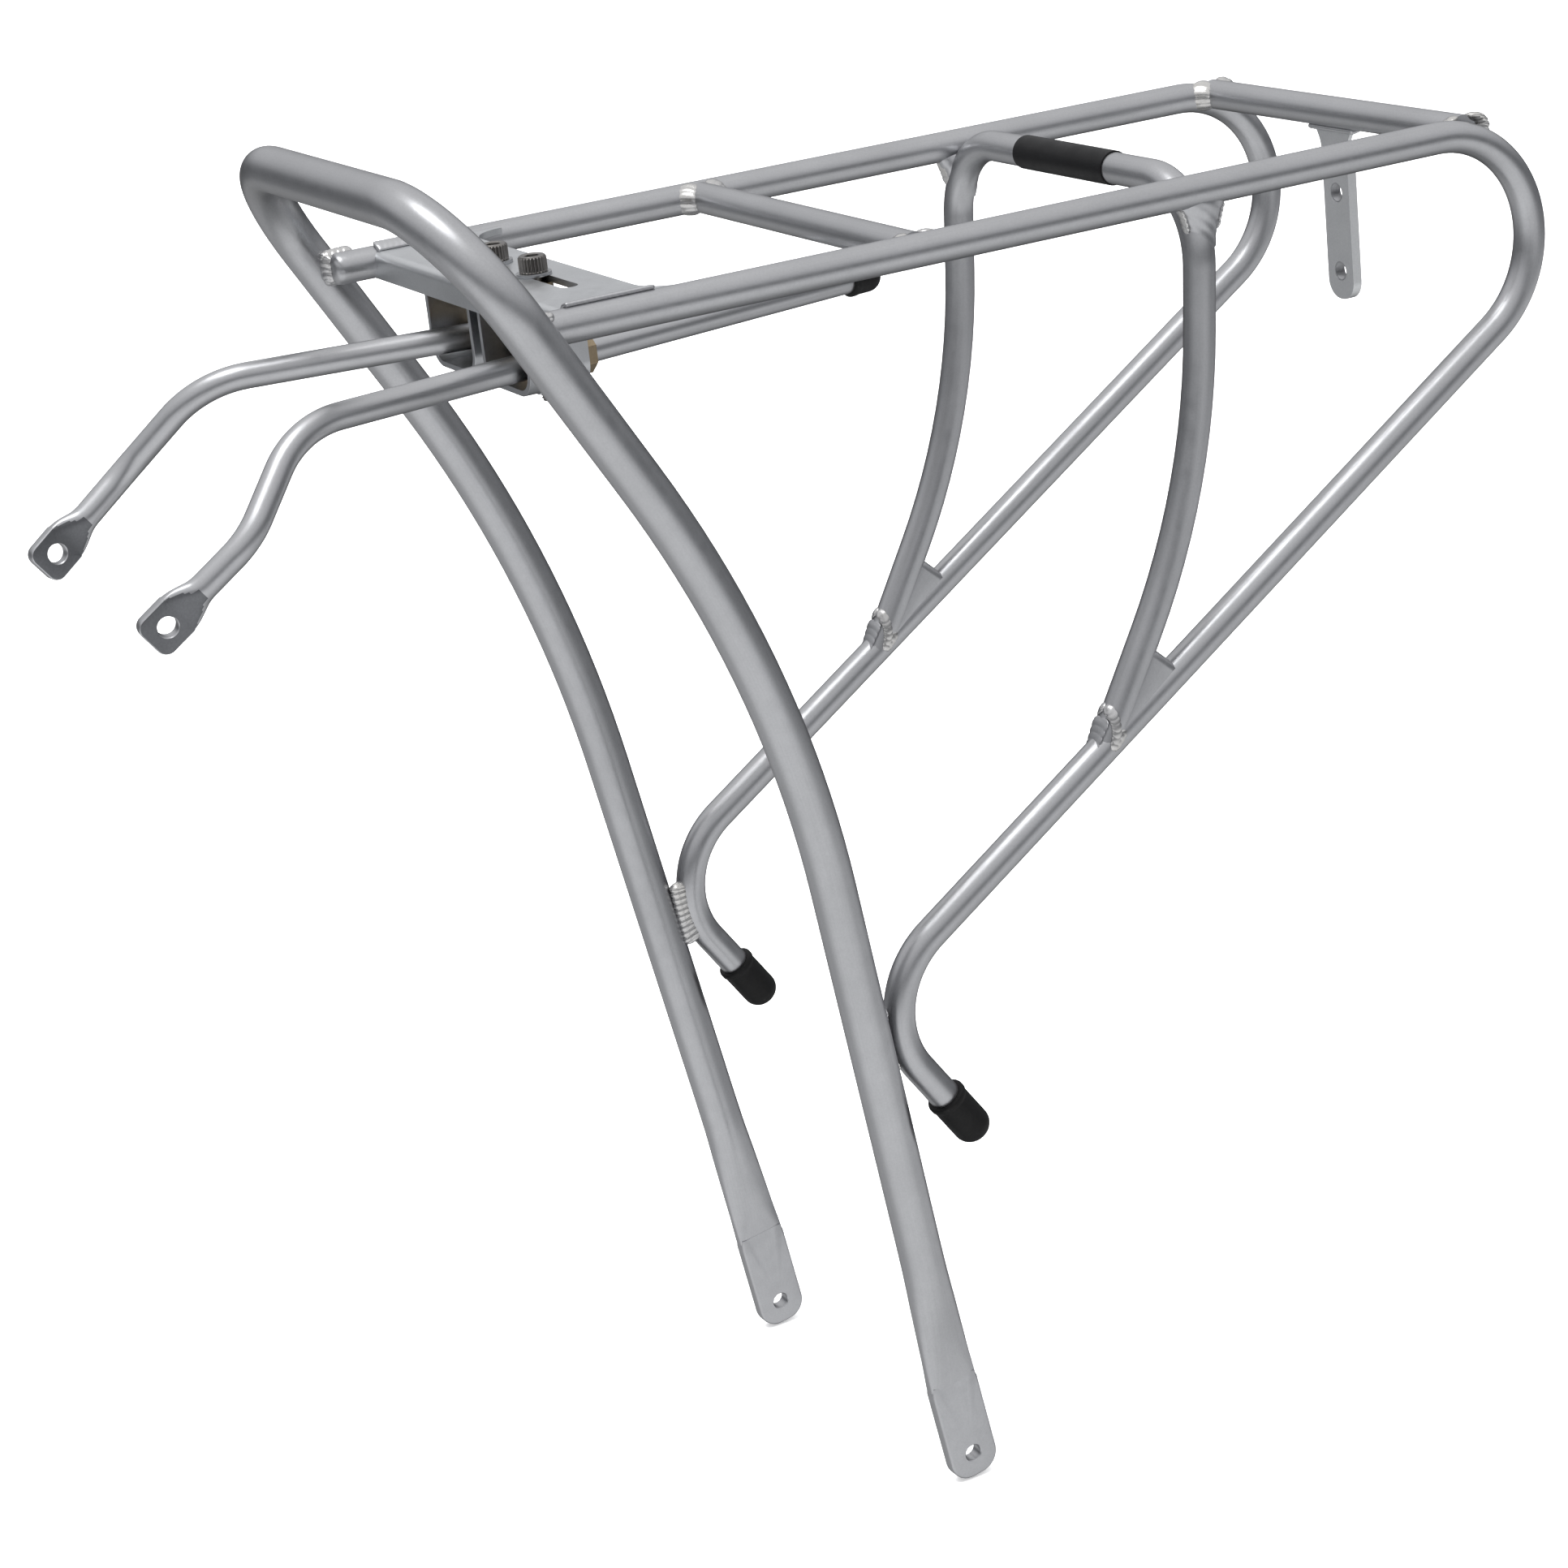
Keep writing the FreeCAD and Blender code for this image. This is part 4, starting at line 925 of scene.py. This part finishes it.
def flares():
    """where the inner hoop passes under each rail, weld flares out to the rail both ways"""
    hoop_y = INNER_TOP[1]
    # z, x, half width in x, half width in y
    stations = [(374.5, 70.35, 4.9, 4.9), (378.0, 69.9, 5.0, 5.15), (381.0, 69.8, 5.05, 5.7),
                (384.0, 70.0, 5.0, 6.7), (386.5, 70.4, 4.9, 7.9), (389.0, 70.9, 4.4, 9.2),
                (391.0, 71.2, 3.4, 9.6)]
    angle = turn_angles(48)
    rings = []
    for z, x, half_x, half_y in eased(stations, 34):
        wobble = 1 + 0.012 * np.cos(9 * angle + z * 1.7)
        y = hoop_y - (1.2 if z < 380 else 0.0) * (380 - z) / 9.0
        rings.append(np.stack([x + half_x * wobble * np.cos(angle),
                               y + half_y * wobble * np.sin(angle), np.full(48, z)], 1))
    piece("inner_hoop_flares", both(skin(rings)), "frame_metal", "rack", sharp=60)
    beads = []
    for side in (-1, 1):
        line = [(70.2 + 0.55 * (z - 379) * 0.1,
                 hoop_y + side * (5.2 + 0.055 * (z - 379) ** 1.75), z)
                for z in np.linspace(379, 388, 10)]
        beads.append(bead(line, [(-0.2, side, -0.35)] * 10, width=2.4, height=0.8))
    piece("flare_ripples", both(merge(*beads)), "weld", "rack", sharp=70)


def collars():
    """threaded collars, standing to the rear from the reflector bracket's front"""
    seg, turns = 56, 16
    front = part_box("reflector_bracket")[0].y / MM
    # height, radius: the outside, then the thread, then the mouth
    profile = [(1.2, 3.9), (1.4, 4.25), (3.6, 4.2), (3.9, 4.0), (4.0, 3.4), (3.9, 3.12)]
    profile += [(3.8 - i * 3.6 / turns, 3.16 if i % 2 else 2.86) for i in range(turns + 1)]
    profile += [(0.12, 3.1)]
    verts, faces, uv = merge(*[
        lathe((0, front, z), (0, 1, 0), profile, seg=seg, first=(0, 0, 1),
              caps=(False, False)) for z in (365.0, 338.5)])
    size = len(profile) * seg
    for start in (0, size):         # close each collar between its first and last ring
        last = start + size - seg
        faces += [(start + i, start + (i + 1) % seg, last + (i + 1) % seg, last + i)
                  for i in range(seg)]
    piece("reflector_collars", (verts, faces, uv), "frame_metal", "rack", sharp=30)


# ---------------------------------------------------------------- stage, metres
def paper():
    material, tree, shader = new_material("paper")
    place = node(tree, "TexCoord").outputs["Object"]
    patches = noise(tree, place, scale=3.0, detail=2.0, rough=0.5)
    colour = ramp(tree, patches, [(0.3, (0.88, 0.88, 0.885)), (0.7, (0.91, 0.91, 0.91))])
    feed(tree, shader, {"Base Color": colour, "Roughness": 0.9, "Specular IOR Level": 0.1,
                        "Emission Color": (1, 1, 1, 1), "Emission Strength": 0.28})
    return material


def floor():
    """a paper sweep, curving up into a wall away from the camera"""
    ground = CAD_BOX[0][2] - 0.0005
    wall, curve = 2.2, 1.2
    away = Vector((-0.8982, 0.4396, 0.0))
    sideways = Vector((0.4396, 0.8982, 0.0))
    # distance away, height
    profile = [(-4.0, 0.0), (wall - curve, 0.0)]
    profile += [(wall - curve + curve * math.sin(a), curve - curve * math.cos(a))
                for a in map(math.radians, range(6, 91, 6))]
    profile += [(wall, 5.0)]
    mesh = bpy.data.meshes.new("floor")
    bm = bmesh.new()
    rows = []
    for distance, height in profile:
        ends = [away * distance + sideways * s for s in (-5.0, 5.0)]
        rows.append([bm.verts.new((p.x, p.y, ground + height)) for p in ends])
    for a, b in zip(rows[:-1], rows[1:]):
        bm.faces.new((a[0], b[0], b[1], a[1]))
    bm.normal_update()
    bm.to_mesh(mesh)
    bm.free()
    smooth(mesh)
    made = add_object("floor", mesh)
    made.visible_glossy = False
    mesh.materials.append(paper())


def studio():
    """a world seen only in light and reflections; the camera sees plain pale grey"""
    world = bpy.data.worlds.new("studio")
    SCENE.world = world
    world.use_nodes = True
    tree = world.node_tree
    tree.nodes.clear()
    output = node(tree, "OutputWorld")
    surroundings = node(tree, "Background")
    direction = node(tree, "TexCoord").outputs["Generated"]
    up = node(tree, "SeparateXYZ", {0: direction}).outputs["Z"]
    height = node(tree, "Math", {0: up, 1: 0.5, 2: 0.5}, operation="MULTIPLY_ADD")
    # height from straight down (0) to straight up (1), colour
    sky = ramp(tree, height.outputs[0], [
        (0.0, (0.30, 0.305, 0.31)), (0.20, (0.34, 0.345, 0.35)), (0.34, (0.36, 0.365, 0.375)),
        (0.44, (0.24, 0.245, 0.255)), (0.50, (0.17, 0.175, 0.185)),
        (0.57, (0.26, 0.265, 0.275)), (0.65, (0.70, 0.705, 0.72)), (0.80, (0.90, 0.90, 0.91)),
        (1.0, (1.0, 1.0, 1.0))])

    def patch(aim, edge, core, gain, full_z, none_z):
        """gain inside a soft patch round a direction, fading out upwards"""
        facing = node(tree, "VectorMath", {1: Vector(aim).normalized(), 0: direction},
                      operation="DOT_PRODUCT")
        spot = node(tree, "MapRange", {"From Min": edge, "From Max": core, "To Max": gain,
                                       "Value": facing.outputs["Value"]},
                    interpolation_type="SMOOTHSTEP")
        fade = node(tree, "MapRange", {"From Min": full_z, "From Max": none_z, "To Min": 1.0,
                                       "To Max": 0.0, "Value": up},
                    interpolation_type="SMOOTHSTEP")
        both_ = node(tree, "Math", {0: spot.outputs[0], 1: fade.outputs[0]},
                     operation="MULTIPLY")
        return both_.outputs[0]

    # a dark flag behind the object, so that tube edges read against the pale floor
    flag = patch((-0.8466, 0.41433, -0.25), edge=0.60, core=0.95, gain=-0.75,
                 full_z=-0.05, none_z=0.18)
    kept = node(tree, "Math", {0: flag, 1: 1.0}, operation="ADD")
    total = node(tree, "VectorMath", {0: sky, "Scale": kept.outputs[0]},
                 operation="SCALE").outputs[0]
    # low pale cards: one beside the camera, then one to the rear and one to the front
    cards = [patch((0.76, -0.56, -0.34), edge=0.12, core=0.82, gain=0.74,
                   full_z=-0.25, none_z=-0.02),
             patch((0.33, 0.87, -0.37), edge=0.62, core=0.94, gain=0.42,
                   full_z=-0.34, none_z=-0.22),
             patch((-0.78, -0.42, -0.46), edge=0.72, core=0.95, gain=0.24,
                   full_z=-0.36, none_z=-0.24)]
    for card in cards:
        total = node(tree, "VectorMath", {0: total, 1: card}, operation="ADD").outputs[0]
    feed(tree, surroundings, {0: total, 1: 1.0})
    backdrop = node(tree, "Background", {0: (0.93, 0.93, 0.93, 1)})
    camera_ray = node(tree, "LightPath").outputs["Is Camera Ray"]
    mix = node(tree, "MixShader", {0: camera_ray, 1: surroundings.outputs[0],
                                   2: backdrop.outputs[0]})
    feed(tree, output, {0: mix.outputs[0]})


def area(name, place, target, width, depth, power, glossy):
    light = bpy.data.lights.new(name, "AREA")
    light.shape = "RECTANGLE"
    light.size = width
    light.size_y = depth
    light.energy = power
    lamp = add_object(name, light)
    lamp.location = place
    aim = Vector(target) - Vector(place)
    lamp.rotation_euler = aim.to_track_quat("-Z", "Y").to_euler()
    lamp.visible_glossy = glossy


def lights():
    area("key_top", place=(0.10, -0.35, 1.7), target=(0, 0, 0.25), width=0.8, depth=0.5,
         power=6, glossy=True)
    area("floor_wash", place=(0.2, 0.0, 3.0), target=(-0.4, 0.2, 0.0), width=2.4, depth=2.4,
         power=60, glossy=False)
    area("wall_wash", place=(-0.4, -0.6, 2.2), target=(-1.9, 0.9, 0.7), width=1.6, depth=1.2,
         power=40, glossy=False)


def camera():
    data = bpy.data.cameras.new("camera")
    data.sensor_width = 36.0
    data.lens = 81.66
    data.clip_start = 0.01
    data.clip_end = 30
    made = add_object("camera", data)
    # columns: the camera's right, its up, away from its view, its place
    made.matrix_world = Matrix(((0.47073, -0.24834, 0.84660, 0.9633),
                                (0.87580, 0.24760, -0.41433, -0.4784),
                                (-0.10672, 0.93649, 0.33405, 0.5954),
                                (0, 0, 0, 1)))
    SCENE.camera = made
    SCENE.view_settings.view_transform = "Standard"


main_hoop()
rail_tip, rail_tip_dir = side_rails()
cross_tubes()
inner_hoop()
hoop_band()
foot_caps(rail_tip, rail_tip_dir)
stays()
screws()
pressed_parts()
weld_beads()
fillet_beads()
flares()
collars()
floor()
studio()
lights()
camera()
